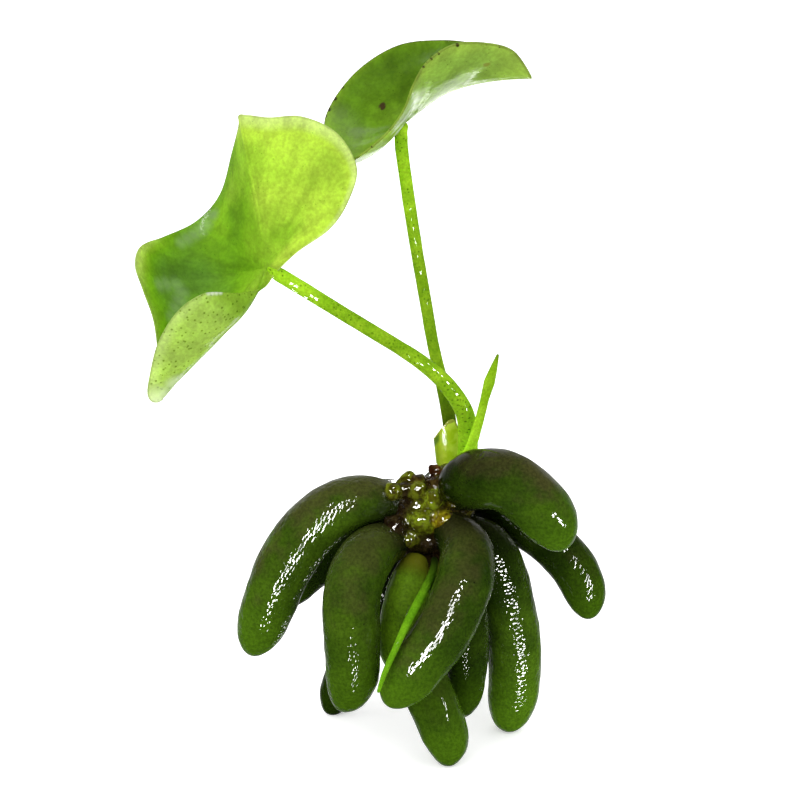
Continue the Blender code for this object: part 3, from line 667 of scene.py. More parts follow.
# leaves: where the stem joins, and rib by rib the blade's half-way and margin points.
# The painted light and shade across the blade and its rim, glow and rimGlow, and how much of its film shows,
# are given at some turns counted in ribs. A mark has its turn, its share of the way to the margin and its
# size in mm.
leaves = {
    "leaf_left": dict(
        slot="leaf_bright", upper="leafBright", under="leafBrightUnder",
        glow=((0, 0.9), (2, 0.95), (4, 0.85), (8, 0.78), (10, 0.7), (11, 0.6), (12, 0.54), (13, 0.48),
              (14, 0.4), (15, 0.3), (16, 0.2), (17, 0.14), (18, 0.15), (20, 0.25), (22, 0.6), (24, 0.95),
              (26, 0.85), (27, 0.55), (28, 0.3), (30, 0.7)),
        rimGlow=((0, 0.8), (3, 1.1), (8, 1.15), (10, 1), (11, 0.75), (12, 0.4), (13.3, 0.25),
                 (14.3, 0.35), (15, 0.4), (16, 0.75), (17, 0.75), (18, 0.5), (20, 0.55), (21, 0.7),
                 (22, 0.9), (24, 1), (26, 0.9), (27, 0.6), (28, 0.35), (30, 0.8)),
        film=((0, 0.35), (15.4, 0.35), (16.2, 0), (20, 0), (20.6, 0.8), (29, 0.8), (29.5, 0.35), (30, 0.35)),
        # paintedSheen: painted reflection, the grey-white sheen along the fold and in the hollow
        paintedSheen=[((13.5, 0.87), 0.8), ((13.9, 0.86), 0.9), ((14.15, 0.85), 0.9), ((14.4, 0.85), 0.8),
              ((14.65, 0.85), 0.8), ((14.9, 0.85), 0.7), ((17.72, 0.86), 0.8), ((17.66, 0.8), 0.9),
              ((17.7, 0.72), 1.0), ((18, 0.7), 1.0), ((18.35, 0.72), 1.0), ((18.65, 0.77), 0.9),
              ((18.9, 0.83), 0.8)],
        # paintedGlare: painted reflection whitening the wall's tip and lower edge
        paintedGlare=[((21.7, 0.99), 2.0), ((22.25, 0.9), 1.1), ((22.9, 0.8), 1.1)],
        # pale: a painted highlight, the white dash of water along the wall's rim
        pale=[((27.08, 1), 0.28), ((27.2, 1), 0.32), ((27.32, 1), 0.32), ((27.44, 1), 0.28)],
        joint=(-19.2, -1.8, 64.2),
        ribs=[
            ((-18.7, -2.2, 63.8), (-18.2, -2.6, 63.4)),
            ((-18.2, -2.4, 64.5), (-16.9, -2.8, 65)),
            ((-17.3, -2.8, 65.5), (-15.1, -3.4, 66.9)),
            ((-14.9, -3.4, 68.5), (-11.1, -4.4, 70.1)),
            ((-13.4, -3.4, 70.8), (-8.8, -4.4, 73.9)),
            ((-12.9, -3.2, 72.9), (-8, -3.8, 77.7)),
            ((-14.2, -2.2, 73.6), (-10.4, -1.8, 81.3)),
            ((-16.1, -1.2, 73.8), (-14.7, 0.2, 82.8)),
            ((-18.4, -0.4, 73.7), (-18.6, 2, 82.2)),
            ((-19.9, 0.3, 73.3), (-21.6, 4, 82)),
            ((-20.5, 0.8, 73), (-22.45, 4.5, 81.75)),
            ((-20.9, 1.2, 72.4), (-22.5, 5.2, 80.3)),
            ((-21.9, 2.4, 70.7), (-23.5, 8, 76.2)),
            ((-23.1, 3.4, 67.9), (-25.2, 9.3, 70.3)),
            ((-24.3, 3.8, 65.6), (-28.2, 7.5, 67.3)),
            ((-25.9, 3.6, 63.8), (-32.1, 3.2, 66.6)),
            ((-26.8, 3, 62.7), (-34.4, -1.5, 66.9)),
            ((-27.2, 2.4, 61.8), (-34.9, -4.5, 65.4)),
            ((-27, 0.6, 60.6), (-33.9, -6, 62.7)),
            ((-26.6, -2, 59), (-32.6, -7.2, 59)),
            ((-26.4, -3.4, 57), (-32.1, -7.6, 53.6)),
            ((-26.4, -4.6, 55.9), (-31.8, -8, 49.6)),
            ((-26.3, -5.6, 55.2), (-32.8, -8.5, 49.1)),
            ((-26.1, -6.4, 55.3), (-33.5, -9, 50.1)),
            ((-25.7, -7.2, 55.9), (-33.2, -9.9, 52.7)),
            ((-25, -8, 57.1), (-31.9, -11, 57.7)),
            ((-23.5, -8.9, 59), (-29.3, -12.2, 62.1)),
            ((-22.1, -8.8, 60.7), (-26, -11.8, 64.2)),
            ((-20.6, -7.1, 62), (-22.3, -9, 63.3)),
            ((-19.5, -4.6, 63), (-19.6, -5, 62.6)),
        ],
    ),
    "leaf_right": dict(
        slot="leaf_shaded", upper="leafShaded", under="leafShadedUnder",
        glow=((0, 0.6), (4, 0.7), (6, 0.6), (8, 0.5), (10, 0.7), (11, 0.4), (12, 0.25), (14, 0.1),
              (15, 0.35), (16, 0.6), (18, 0.9), (19, 0.6)),
        rimGlow=((0, 0.8), (4, 0.9), (8, 0.8), (10, 0.9), (12, 0.5), (14, 0.5), (16, 0.8), (18, 0.9),
                 (19, 0.8)),
        film=((0, 1), (1.6, 1), (1.9, 0.1), (2.8, 0.1), (3.3, 1), (12, 1), (12.6, 0.8), (18, 0.8), (19, 1)),
        blotches=[((14.92, 0.335), 0.5), ((14.97, 0.31), 0.4), ((14.54, 0.71), 0.12)],
        dead=[((15.79, 0.985), 0.28), ((15.54, 0.99), 0.3), ((15.3, 0.99), 0.22), ((15.05, 0.995), 0.15),
              ((15.95, 0.995), 0.2), ((16.1, 0.995), 0.16), ((7.12, 0.99), 0.25), ((6.46, 0.985), 0.2),
              ((6.17, 0.99), 0.17), ((5.98, 0.99), 0.12), ((5.79, 0.99), 0.18), ((8, 0.99), 0.14),
              ((8.46, 0.99), 0.16), ((2.2, 0.985), 0.16), ((2.6, 0.98), 0.14), ((3, 0.985), 0.15),
              ((3.3, 0.98), 0.12)],
        rust=[((8.81, 0.815), 0.45)],
        # paintedUnderGlare: painted reflection, the white band along the near half's lower edge
        paintedUnderGlare=[((3.0, 0.68), 0.6), ((3.3, 0.66), 0.9), ((3.9, 0.47), 1.0), ((4.8, 0.36), 0.9),
                ((5.1, 0.5), 0.7), ((5.65, 0.15), 0.8), ((2.7, 0.3), 0.9)],
        # paintedGlare: painted hazy reflection on the far half's lower lobe
        paintedGlare=[((15.9, 0.8), 1.5), ((16.2, 0.68), 1.8), ((16.6, 0.6), 1.9), ((17, 0.7), 1.8)],
        joint=(-2.1, 1, 81.9),
        ribs=[
            ((-2.6, 0.9, 81.3), (-3.1, 0.8, 80.4)),
            ((-5.7, -0.3, 78.5), (-9.3, -1, 77.1)),
            ((-4.4, -1.2, 80), (-6.7, -4, 79.7)),
            ((-3.1, -2.2, 81.9), (-3.9, -6.5, 83)),
            ((-2, -3.4, 84), (-2.2, -8, 86)),
            ((-1.1, -4.3, 85.8), (-1.2, -8.6, 88.9)),
            ((-0.1, -4.6, 86.7), (0.5, -8.6, 91.8)),
            ((1.1, -4.4, 87), (3.6, -8, 93.7)),
            ((2.4, -3.8, 87.2), (7.5, -7, 93.6)),
            ((3.5, -2.8, 87.1), (10.8, -5.5, 92.2)),
            ((4, -1.4, 86.6), (13, -3.5, 88.5)),
            ((3.5, 1, 86.2), (11, 1, 89.8)),
            ((2.4, 3.8, 85.9), (7, 5, 90.5)),
            ((0.2, 5.6, 85.7), (2.2, 8, 90.35)),
            ((-3, 7, 84.8), (-3.3, 10, 89.1)),
            ((-6.2, 7, 83.1), (-8.6, 9.5, 85.6)),
            ((-7.8, 5, 80.4), (-12, 7, 80.7)),
            ((-7, 3, 78.4), (-11, 4, 77.1)),
            ((-5.4, 1.5, 78.6), (-8.9, 1.5, 76.6)),
        ],
    ),
}
leafShape = dict(
    turnSteps=10,  # of the mesh, from rib to rib
    reachSteps=48,  # from the joint to the margin
    thickness=0.26,
)


def roundRibs(points, turn):  # the closed curve through the ribs' points, at a turn counted in ribs
    start = np.floor(turn).astype(int)
    before, here, there, after = (points[(start + k) % len(points)] for k in (-1, 0, 1, 2))
    return through(before, here, there, after, (turn - start)[:, None])


def leafPoints(leaf, turn, reach):  # each rib bows from the joint through its half-way point
    joint = np.array(leaf["joint"], float)
    half, margin = (roundRibs(points, turn) for points in np.array(leaf["ribs"]).swapaxes(0, 1))
    reach = reach[:, None]
    return joint + 4 * reach * (1 - reach) * (half - joint) + reach * (2 * reach - 1) * (margin - joint)


def addLeaf(node, leaf, upper, under):
    ribs = len(leaf["ribs"])
    blade, around, reach = addSheet(node + "_blade", ribs * leafShape["turnSteps"], leafShape["reachSteps"])
    turn = ribs * around
    writePoints(blade.data, placeAll(leafPoints(leaf, turn, reach)))
    writeReading(blade.data, "reach", reach)
    for kind in ("glow", "rimGlow", "film"):
        writeReading(blade.data, kind, np.interp(turn, *zip(*leaf[kind])))
    bpy.ops.object.mode_set(mode="EDIT")
    bpy.ops.mesh.select_all(action="SELECT")
    bpy.ops.mesh.remove_doubles(threshold=1e-6)  # at the joint, and where the turn closes
    bpy.ops.object.mode_set(mode="OBJECT")
    dress(blade, node, leaf["slot"], under, upper)  # the sheet's own side is the blade's underside
    applyModifier(blade, "SOLIDIFY", thickness=leafShape["thickness"] * mm, offset=0, material_offset=1)


# each side's colours from its deepest painted shade to its brightest painted light, the dots that darken it
# and how thickly they stand, how much its painted reflections and highlights show, and the line along its
# margin
leafColours = {
    "leafBright": dict(
        deep=(0.155, 0.31, 0.045), base=(0.23, 0.46, 0.018),
        light=(0.55, 0.74, 0.075), pale=(0.69, 0.83, 0.26),
        dot=(0.6, 0.75, 0.6), dotSpacing=0.62, dotSize=0.13, dotShare=0.4, streaks=0.15,
        # edge on this leaf: painted shade along the rim, where its edge is seen
        marks=dict(paintedSheen=0.33, paintedGlare=0.7, pale=1.0), edge=(0.12, 0.20, 0.02), edgeShare=0.25,
    ),
    "leafBrightUnder": dict(
        deep=(0.27, 0.48, 0.03), base=(0.36, 0.58, 0.05),
        light=(0.52, 0.71, 0.14), pale=(0.62, 0.77, 0.27),
        dot=(0.46, 0.52, 0.3), dotSpacing=0.64, dotSize=0.22, dotShare=1.3, streaks=0.08,
        # edge on this leaf: painted shade along the rim, where its edge is seen
        marks=dict(paintedSheen=0.33, paintedGlare=0.7, pale=1.0), edge=(0.12, 0.20, 0.02), edgeShare=0.3,
    ),
    "leafShaded": dict(
        deep=(0.10, 0.20, 0.010), base=(0.145, 0.28, 0.014),
        light=(0.28, 0.46, 0.035), pale=(0.29, 0.47, 0.045),
        dot=(0.7, 0.6, 0.5), dotSpacing=0.62, dotSize=0.13, dotShare=0.35, streaks=0.16,
        marks=dict(paintedGlare=0.08), edge=(0.11, 0.10, 0.02), edgeShare=0.6,
    ),
    "leafShadedUnder": dict(
        deep=(0.26, 0.45, 0.055), base=(0.31, 0.50, 0.075),
        light=(0.42, 0.60, 0.09), pale=(0.42, 0.60, 0.09),
        dot=(0.6, 0.55, 0.5), dotSpacing=0.62, dotSize=0.13, dotShare=0.45, streaks=0.14,
        marks=dict(paintedUnderGlare=0.75), edge=(0.11, 0.10, 0.02), edgeShare=0.35,
    ),
}
leafLook = dict(
    rimAt=(0.8, 1.0), jointAt=(0.05, 0.5),  # shares of the way to the margin
    glowAtJoint=0.58,
    cloudSize=5.5, cloudDepth=0.5,
    baseAt=(0.0, 0.5), lightAt=(0.35, 0.95), paleAt=(1.3, 2.2),  # the painted light and shade, glow, where a colour comes in
    strandsAround=38, strandsAlong=2.2, strandsAt=(0.05, 0.35),
    stippleSize=0.42, stipple=(0.9, 1.1),
    patchSize=1.8, patchAt=(0.32, 0.6), patchy=(0.86, 1.05),
    dotSpread=0.9, dotEdge=(1.3, 0.7),  # of a dot's size
    dotGroupSize=2.2, dotGroupAt=(0.6, 0.64), dotGroupDrop=0.2,  # lowered by this much of dotShare
    fraySize=0.5,
    sharpMark=dict(soft=0.7, frayed=1.0),
    blotches=(0.075, 0.05, 0.018),
    dead=(0.05, 0.045, 0.012),
    rust=(0.30, 0.34, 0.05),
    # paleMark and the colours after it: painted reflections and a painted highlight, laid on as soft marks
    paleMark=dict(soft=1.7, frayed=0.4),
    paintedSheen=(0.42, 0.52, 0.36),
    paintedGlare=(0.84, 0.92, 0.66),
    paintedUnderGlare=(0.88, 0.94, 0.80),
    pale=(0.93, 0.96, 0.88),
    edgeAt=(0.982, 0.996),
    bead=0.04, beadSize=0.9, blur=0.16,
    sheer=0.5,  # share of the light that shines through
)


def marksOn(tree, leaf, marks, soft, frayed):  # 1 on a few marks, each in its place on the blade
    ragged = drift(tree, leafLook["fraySize"], 2, frayed)
    covered = 0.0
    for (turn, reach), size in marks:
        spot = placeAll(leafPoints(leaf, np.array([turn]), np.array([reach])))[0]
        away = calc(tree, "ADD", calc(tree, "DIVIDE", distanceTo(tree, spot), size * mm), ragged)
        covered = calc(tree, "MAXIMUM", covered, remap(tree, away, 1 + soft / 2, 1 - soft / 2))
    return covered


def leafSkin(name, leaf):
    look = leafLook
    skin = leafColours[name]
    material, tree = newMaterial(name)
    reach = reading(tree, "reach")
    # the painted light and shade: glow across the blade and rimGlow at its margin pick the deep, base, light
    # and pale colours
    rim = remap(tree, reach, *look["rimAt"])
    outer = between(tree, rim, reading(tree, "glow"), reading(tree, "rimGlow"))
    glow = between(tree, remap(tree, reach, *look["jointAt"]), look["glowAtJoint"], outer)
    glow = calc(tree, "ADD", glow, drift(tree, look["cloudSize"], 2, look["cloudDepth"]))
    colour = blend(tree, remap(tree, glow, *look["baseAt"]), skin["deep"], skin["base"])
    colour = blend(tree, remap(tree, glow, *look["lightAt"]), colour, skin["light"])
    colour = blend(tree, remap(tree, calc(tree, "ADD", glow, rim), *look["paleAt"]), colour, skin["pale"])
    strand = put(tree, "CombineXYZ", {
        0: times(tree, acrossUv(tree), look["strandsAround"]),
        1: times(tree, reach, look["strandsAlong"]),
    })
    strands = put(tree, "TexNoise", {"Vector": strand.outputs[0], "Scale": 1.0, "Detail": 2.0}).outputs["Fac"]
    streaks = skin["streaks"]
    shade = remap(tree, strands, 0.3, 0.7, 1 - streaks, 1 + streaks * 0.6)
    colour = tint(tree, colour, blend(tree, remap(tree, reach, *look["strandsAt"]), (1, 1, 1), shade))
    stipple = remap(tree, grain(tree, look["stippleSize"], 2, 0.6), 0.3, 0.7, *look["stipple"])
    patches = remap(tree, grain(tree, look["patchSize"], 3, 0.6), *look["patchAt"], *look["patchy"])
    colour = tint(tree, colour, times(tree, stipple, patches))
    edge = [skin["dotSize"] * share for share in look["dotEdge"]]
    dots = remap(tree, cells(tree, skin["dotSpacing"], look["dotSpread"]), *edge)
    levels = [level - skin["dotShare"] * look["dotGroupDrop"] for level in look["dotGroupAt"]]
    shown = remap(tree, grain(tree, look["dotGroupSize"], 2), *levels)
    colour = blend(tree, times(tree, dots, shown), colour, skin["dot"], "MULTIPLY")
    for kind in ("blotches", "dead", "rust"):
        if kind in leaf:
            marked = marksOn(tree, leaf, leaf[kind], **look["sharpMark"])
            colour = blend(tree, marked, colour, look[kind])
    # painted reflections and highlights, laid on as soft marks
    for kind, share in skin["marks"].items():
        marked = marksOn(tree, leaf, leaf[kind], **look["paleMark"])
        colour = blend(tree, times(tree, marked, share), colour, look[kind])
    line = times(tree, remap(tree, reach, *look["edgeAt"]), skin["edgeShare"])
    colour = blend(tree, line, colour, skin["edge"])
    drops = grain(tree, look["beadSize"], 1)
    wet = wetSkin(tree, colour, reading(tree, "film"), drops, look["bead"], look["blur"])
    surface(tree, shineThrough(tree, wet, colour, look["sheer"]))
    return material


for name, leaf in leaves.items():
    addLeaf(name, leaf, leafSkin(leaf["upper"], leaf), leafSkin(leaf["under"], leaf))
print("leaves opened")


# sheath: the thin torn sheet curled round the front of the stems' foot
sheath = dict(
    centre=(3.4, 3.4), base=36.6, baseRadius=1.5, topRadius=1.85,
    heights=(3.3, 3.5, 4.4, 5.5, 6.4, 6.3, 4.4, 2.8, 2.5),  # from its left edge to its right one
    spread=200, columns=96, rows=40, thickness=0.14,
    green=(0.50, 0.70, 0.02), pale=(0.70, 0.86, 0.08), patchSize=1.2, patchAt=(0.35, 0.65),
    shaded=(0.34, 0.50, 0.02), shadedAt=(0.45, 0.2),  # shares of the way across, from the left
    flap=(0.13, 0.25, 0.02), flapAt=(0.34, 0.26), flapFrom=(0.62, 0.8),  # across, and up
    torn=(0.38, 0.42, 0.06), tornAt=(0.92, 0.97), frayed=0.2, fraySize=0.5,
    film=0.9, bead=0.05, beadSize=0.5, blur=0.03,
    seeThrough=0.2,  # share of the light that shines through
)


def addSheath(material):
    sheet, turn, rise = addSheet("sheath_sheet", sheath["columns"], sheath["rows"])
    last = len(sheath["heights"]) - 1
    knots = np.array(withEnds(np.array(sheath["heights"], float)))
    step = np.clip(turn * last, 0, last - 0.001)
    start = np.floor(step).astype(int)
    top = through(*(knots[start + k] for k in range(4)), step - start)
    angle = np.radians(-90 + sheath["spread"] * (turn - 0.5))
    radius = sheath["baseRadius"] * (1 - rise) + sheath["topRadius"] * rise
    points = np.column_stack([
        sheath["centre"][0] + radius * np.cos(angle),
        sheath["centre"][1] + radius * np.sin(angle),
        sheath["base"] + top * rise,
    ])
    writePoints(sheet.data, placeAll(points))
    writeReading(sheet.data, "reach", rise)
    dress(sheet, "sheath", "sheath", material)
    applyModifier(sheet, "SOLIDIFY", thickness=sheath["thickness"] * mm, offset=0)


def sheathSkin():
    look = sheath
    material, tree = newMaterial("sheathSkin")
    turn = acrossUv(tree)
    reach = reading(tree, "reach")
    patches = remap(tree, grain(tree, look["patchSize"], 3), *look["patchAt"])
    colour = blend(tree, patches, look["green"], look["pale"])
    colour = blend(tree, remap(tree, turn, *look["shadedAt"]), colour, look["shaded"])
    flap = times(tree, remap(tree, turn, *look["flapAt"]), remap(tree, reach, *look["flapFrom"]))
    colour = blend(tree, flap, colour, look["flap"])
    ragged = calc(tree, "ADD", reach, drift(tree, look["fraySize"], 2, look["frayed"]))
    colour = blend(tree, remap(tree, ragged, *look["tornAt"]), colour, look["torn"])
    drops = beading(tree, look["beadSize"])
    skin = wetSkin(tree, colour, look["film"], drops, look["bead"], look["blur"])
    surface(tree, shineThrough(tree, skin, colour, look["seeThrough"]))
    return material


addSheath(sheathSkin())
print("sheath curled")


# crown: lumps grown together, with warty knobs of their own colours on its front and a cut stub
crownColours = dict(
    black=(0.030, 0.020, 0.007),
    brown=(0.055, 0.034, 0.007),
    red=(0.080, 0.026, 0.006),
    olive=(0.125, 0.150, 0.007),
    green=(0.210, 0.290, 0.010),
    yellow=(0.360, 0.320, 0.008),
)
crown = dict(
    lumps=[
        ((0.2, -1.2, 31.2), (4.7, 4.0, 5.2), "black"),
        ((4, 1.4, 33.2), (3.3, 3.6, 4.1), "olive"),
        ((1.2, 0.2, 26.5), (3.6, 3.2, 3.6), "brown"),
    ],
    knobs=[
        ((-3.3, -4.9, 31.2), 1.5, "black"),
        ((-0.1, -5, 32), 1.45, "green"),
        ((2.7, -4.8, 31.9), 1.5, "yellow"),
        ((1.4, -4.3, 34.5), 1.3, "green"),
        ((-0.5, -3.7, 35.6), 1.15, "olive"),
        ((-2.1, -3.2, 35.4), 1.2, "black"),
        ((-0.4, -2.5, 36.4), 0.9, "brown"),
        ((-3.6, -3.9, 35.5), 1.15, "olive"),
        ((1.9, -2.5, 35.9), 1.15, "brown"),
        ((1.8, -0.6, 37), 0.9, "red"),
        ((-1.7, -4.6, 29.4), 1.05, "olive"),
        ((0.9, -4, 28.6), 1.2, "black"),
    ],
    stub=((-3.4, -1.8, 35), (-1.6, -1.8, 36.8), 0.7, "olive"), stubBalls=9,
    sides=32, rings=24,  # of each ball that it is grown from
    seed=4,
    warts=7,  # on each knob
    wartLift=0.9, wartSize=(0.22, 0.4), wartAt=0.86,  # up or down in radians, and of the radius
    voxel=0.17, smoothing=2,
    lumpSize=1.3, lumpHeight=0.45,
    pitSize=0.45, pitHeight=0.10,
    gapWeight=0.12,  # how soon a gap between the knobs goes dark
    fade=6, fadeFrom=0.9,  # a knob's colour, from this share of its radius
    shade=(0.32, 0.24, 0.3), mottleSize=0.9, mottleAt=(0.4, 0.64),
    holeSpacing=0.8, holeAt=(0.24, 0.12), holeGroupSize=1.6, holeGroupAt=(0.45, 0.55),
    film=0.9, bead=0.06, beadSize=0.45, blur=0.03,
)


def addCrown(material):
    dice = random.Random(crown["seed"])
    balls = list(crown["lumps"])
    for centre, radius, colour in crown["knobs"]:
        balls.append((centre, (radius, radius, radius), colour))
        for _ in range(crown["warts"]):
            turn = dice.uniform(-math.pi, math.pi)
            lift = dice.uniform(-crown["wartLift"], crown["wartLift"])
            size = radius * dice.uniform(*crown["wartSize"])
            flat = math.cos(lift) * radius * crown["wartAt"]
            spot = (centre[0] + math.cos(turn) * flat, centre[1] + math.sin(turn) * flat,
                    centre[2] + math.sin(lift) * radius * crown["wartAt"])
            balls.append((spot, (size, size, size), colour))
    start, end, radius, colour = crown["stub"]
    for share in np.linspace(0, 1, crown["stubBalls"]):
        spot = tuple(a + (b - a) * share for a, b in zip(start, end))
        balls.append((spot, (radius, radius, radius), colour))
    pieces = []
    for centre, radii, _ in balls:
        bpy.ops.mesh.primitive_uv_sphere_add(
            segments=crown["sides"], ring_count=crown["rings"], radius=1, location=place(centre))
        ball = bpy.context.object
        ball.scale = Vector(radii) * mm
        pieces.append(ball)
    bpy.ops.object.select_all(action="DESELECT")
    for ball in pieces:
        ball.select_set(True)
    bpy.context.view_layer.objects.active = pieces[0]
    bpy.ops.object.join()
    bpy.ops.object.transform_apply(location=True, rotation=True, scale=True)
    body = activePiece("crown_body")
    applyModifier(body, "REMESH", mode="VOXEL", voxel_size=crown["voxel"] * mm, use_smooth_shade=True)
    applyModifier(body, "SMOOTH", factor=0.5, iterations=crown["smoothing"])
    swell(body, clouds("crownLumps", crown["lumpSize"], 2), crown["lumpHeight"])
    swell(body, clouds("crownPits", crown["pitSize"]), crown["pitHeight"])
    paintCrown(body, balls)
    dress(body, "crown", "crown", material)


def paintCrown(body, balls):  # each point takes the colours of the knobs nearest to it
    points = readPoints(body.data) / mm - (crownAxis[0], crownAxis[1], 0)
    total = np.full(len(points), crown["gapWeight"])
    colours = np.tile(np.array(crownColours["black"]) * total[0], (len(points), 1))
    for centre, radii, colour in balls:
        beyond = np.linalg.norm((points - centre) / radii, axis=1)
        weight = np.exp(-crown["fade"] * np.clip(beyond - crown["fadeFrom"], 0, None)) / min(radii) ** 2
        total += weight
        colours += weight[:, None] * np.array(crownColours[colour])
    colours /= total[:, None]
    attribute = body.data.color_attributes.new("tone", "FLOAT_COLOR", "POINT")
    attribute.data.foreach_set("color", np.column_stack([colours, np.ones(len(points))]).ravel())


def crownSkin():
    look = crown
    material, tree = newMaterial("crownSkin")
    tone = put(tree, "Attribute", attribute_name="tone").outputs["Color"]
    mottle = remap(tree, grain(tree, look["mottleSize"], 3, 0.6), *look["mottleAt"])
    colour = blend(tree, mottle, tint(tree, tone, look["shade"]), tone)
    hole = times(tree, remap(tree, cells(tree, look["holeSpacing"]), *look["holeAt"]),
                 remap(tree, grain(tree, look["holeGroupSize"], 1), *look["holeGroupAt"]))
    colour = blend(tree, hole, colour, crownColours["black"])
    drops = beading(tree, look["beadSize"])
    surface(tree, wetSkin(tree, colour, look["film"], drops, look["bead"], look["blur"]))
    return material


addCrown(crownSkin())
print("crown grown")


# floor, white surroundings and lights
studio = dict(
    floorSize=20,
    floorColour=(0.97, 0.97, 0.97),
    floorLift=0.4,  # added to what the camera sees of it, so that the backdrop is white
    behind=1.8,  # brightness of the surroundings behind the plant, as soft light
    before=1.0,  # and on the camera's side
    behindAt=(-0.15, 0.55),  # how far back a direction points, where one side gives way to the other
    behindGloss=0.6,  # brightness of both as the wet skins mirror them
    beforeGloss=0.02,
    glossAt=(0.3, 0.9),
    horizonAt=(-0.05, 0.05),  # no light comes from below it
)
softboxes = {
    "softLeft": dict(start=(-55, 50), end=(-25, 50), distance=700, width=500, brightness=3.0),
    "softRight": dict(start=(38, 35), end=(62, 35), distance=700, width=400, brightness=1.2),
}
# narrow lights that only the wet film of the named pieces mirrors, each along a short arc of
# directions given as azimuth and elevation
glints = {
    "glintLeft": dict(start=(14, 40), end=(-7, -34), width=100, on=["tuber_left", "tuber_back_left"]),
    "glintFront": dict(start=(0, 34), end=(-20, 4), width=125, on=["tuber_front", "thin_root"]),
    "glintFrontLeft": dict(start=(9, -26), end=(2, -38), width=45, on=["tuber_front_left"]),
    "glintSmall": dict(start=(-119, 21), end=(-114, 36), width=40, on=["tuber_front_small"]),
    "glintLowest": dict(start=(43, 13), end=(47, 17), width=26, on=["tuber_lowest"]),
    "glintInner": dict(start=(-10, -37), end=(-20, -43), width=26, on=["tuber_inner", "tuber_left_low"]),
    "glintRightLow": dict(start=(38, -25), end=(22, -28), width=80, on=[
        "tuber_right_low", "tuber_back_right"]),
    "glintRightRear": dict(start=(52, 8), end=(30, -24), width=50, on=["tuber_right_rear"]),
    "glintRightTop": dict(start=(49, -5), end=(65, -20), width=56, on=["tuber_right_top"]),
    "glintCrown": dict(start=(-12, 32), end=(22, 32), width=80, brightness=180, on=["crown"]),
    "glintStemLow": dict(start=(45, 31), end=(66, -24), width=230, on=["stem_left"]),
    "glintStemUp": dict(start=(-3, 8), end=(-3, -12), width=220, on=["stem_left"]),
    "glintStemFoot": dict(start=(-88, -58), end=(-84, -38), width=200, on=["stem_left"]),
    "glintStemRight": dict(start=(20, -14), end=(8, -22), width=140, on=["stem_right"]),
    "glintSheath": dict(start=(-33, -46), end=(-26, -10), width=100, brightness=110, on=["sheath"]),
    "glintFold": dict(start=(-125, 38), end=(-80, 78), width=70, brightness=34, on=["leaf_left"]),
    "glintHaze": dict(start=(-84, 30), end=(-78, 38), width=110, brightness=4.5, on=["leaf_right"]),
    "glintShell": dict(start=(164, -32), end=(146, -60), width=230, brightness=4.5, on=["leaf_right"]),
    "glintUnder": dict(start=(152, -68), end=(-154, -84), width=160, brightness=10, on=["leaf_right"]),
    "glintWall": dict(start=(133, -55), end=(152, -48), width=150, brightness=4.5, on=["leaf_left"]),
    "glintLeftLow": dict(start=(133, -53), end=(150, -47), width=36, brightness=7, on=["tuber_left"]),
    "glintLeftRear": dict(start=(-66, 37), end=(-64, 39), width=26, on=["tuber_left_rear"]),
    "glintBack": dict(start=(200, 30), end=(160, 0), width=80, on=[
        "tuber_back_right", "tuber_back_left", "tuber_back_up_right", "tuber_back_up_left"]),
}
glintShape = dict(distance=600, brightness=80)  # what a glint has unless it gives its own


def addFloor():
    bpy.ops.mesh.primitive_plane_add(size=studio["floorSize"])
    floor = bpy.context.object
    floor.name = "floor"
    material, tree = newMaterial("floorWhite")
    matte = put(tree, "BsdfDiffuse", {"Color": (*studio["floorColour"], 1)})
    lift = times(tree, put(tree, "LightPath").outputs["Is Camera Ray"], studio["floorLift"])
    white = put(tree, "Emission", {"Strength": lift})
    both = put(tree, "AddShader", {0: matte.outputs[0], 1: white.outputs[0]})
    surface(tree, both.outputs[0])
    floor.data.materials.append(material)
    floor.visible_shadow = False
    floor.visible_glossy = False


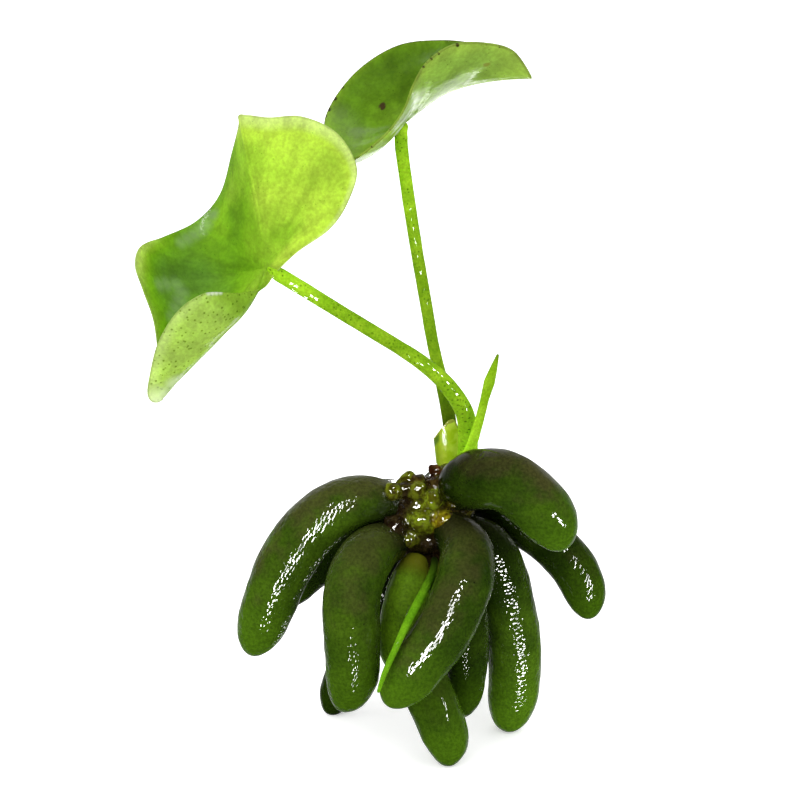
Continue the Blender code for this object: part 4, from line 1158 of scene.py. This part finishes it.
def addPanel(name, panel):  # a flat light from one direction to the other
    target = place(cameraView["target"])
    start, end = (aimFrom(*panel[way], panel["distance"]) for way in ("start", "end"))
    away = ((start + end) / 2 - target).normalized()
    along = end - start
    length = along.length
    along = (along - away * along.dot(away)).normalized()
    across = along.cross(away)
    bpy.ops.object.light_add(type="AREA")
    light = bpy.context.object
    light.name = name
    light.matrix_world = Matrix((across, along, away)).transposed().to_4x4()
    light.location = target + away * panel["distance"] * mm
    light.data.shape = "RECTANGLE"
    light.data.size = panel["width"] * mm
    light.data.size_y = length + panel["width"] * mm
    light.data.energy = panel["brightness"] * math.pi * light.data.size * light.data.size_y
    light.visible_camera = False
    return light


def addSoftbox(name, box):
    light = addPanel(name, box)
    light.visible_glossy = False


def addGlint(name, glint):
    light = addPanel(name, {**glintShape, **glint})
    light.visible_diffuse = False
    light.visible_transmission = False
    lit = bpy.data.collections.new(name)
    for node in glint["on"]:
        lit.objects.link(skins[node])
    light.light_linking.receiver_collection = lit


def addWorld():
    world = bpy.data.worlds.new("studioWhite")
    bpy.context.scene.world = world
    world.use_nodes = True
    tree = world.node_tree
    tree.nodes.clear()
    direction = put(tree, "SeparateXYZ", {0: put(tree, "TexCoord").outputs["Generated"]})
    back = direction.outputs[1]
    above = remap(tree, direction.outputs[2], *studio["horizonAt"])
    path = put(tree, "LightPath")
    side = remap(tree, back, *studio["behindAt"])
    soft = times(tree, remap(tree, side, 0, 1, studio["before"], studio["behind"]), above)
    gloss = remap(tree, back, *studio["glossAt"], studio["beforeGloss"], studio["behindGloss"])
    level = between(tree, path.outputs["Is Glossy Ray"], soft, gloss)
    level = calc(tree, "MAXIMUM", level, path.outputs["Is Camera Ray"])
    shader = put(tree, "Background", {"Strength": level})
    output = put(tree, "OutputWorld")
    tree.links.new(shader.outputs[0], output.inputs["Surface"])


addFloor()
addWorld()
for name, box in softboxes.items():
    addSoftbox(name, box)
for name, glint in glints.items():
    addGlint(name, glint)
bpy.context.scene.view_settings.view_transform = "Standard"
print("studio lit")
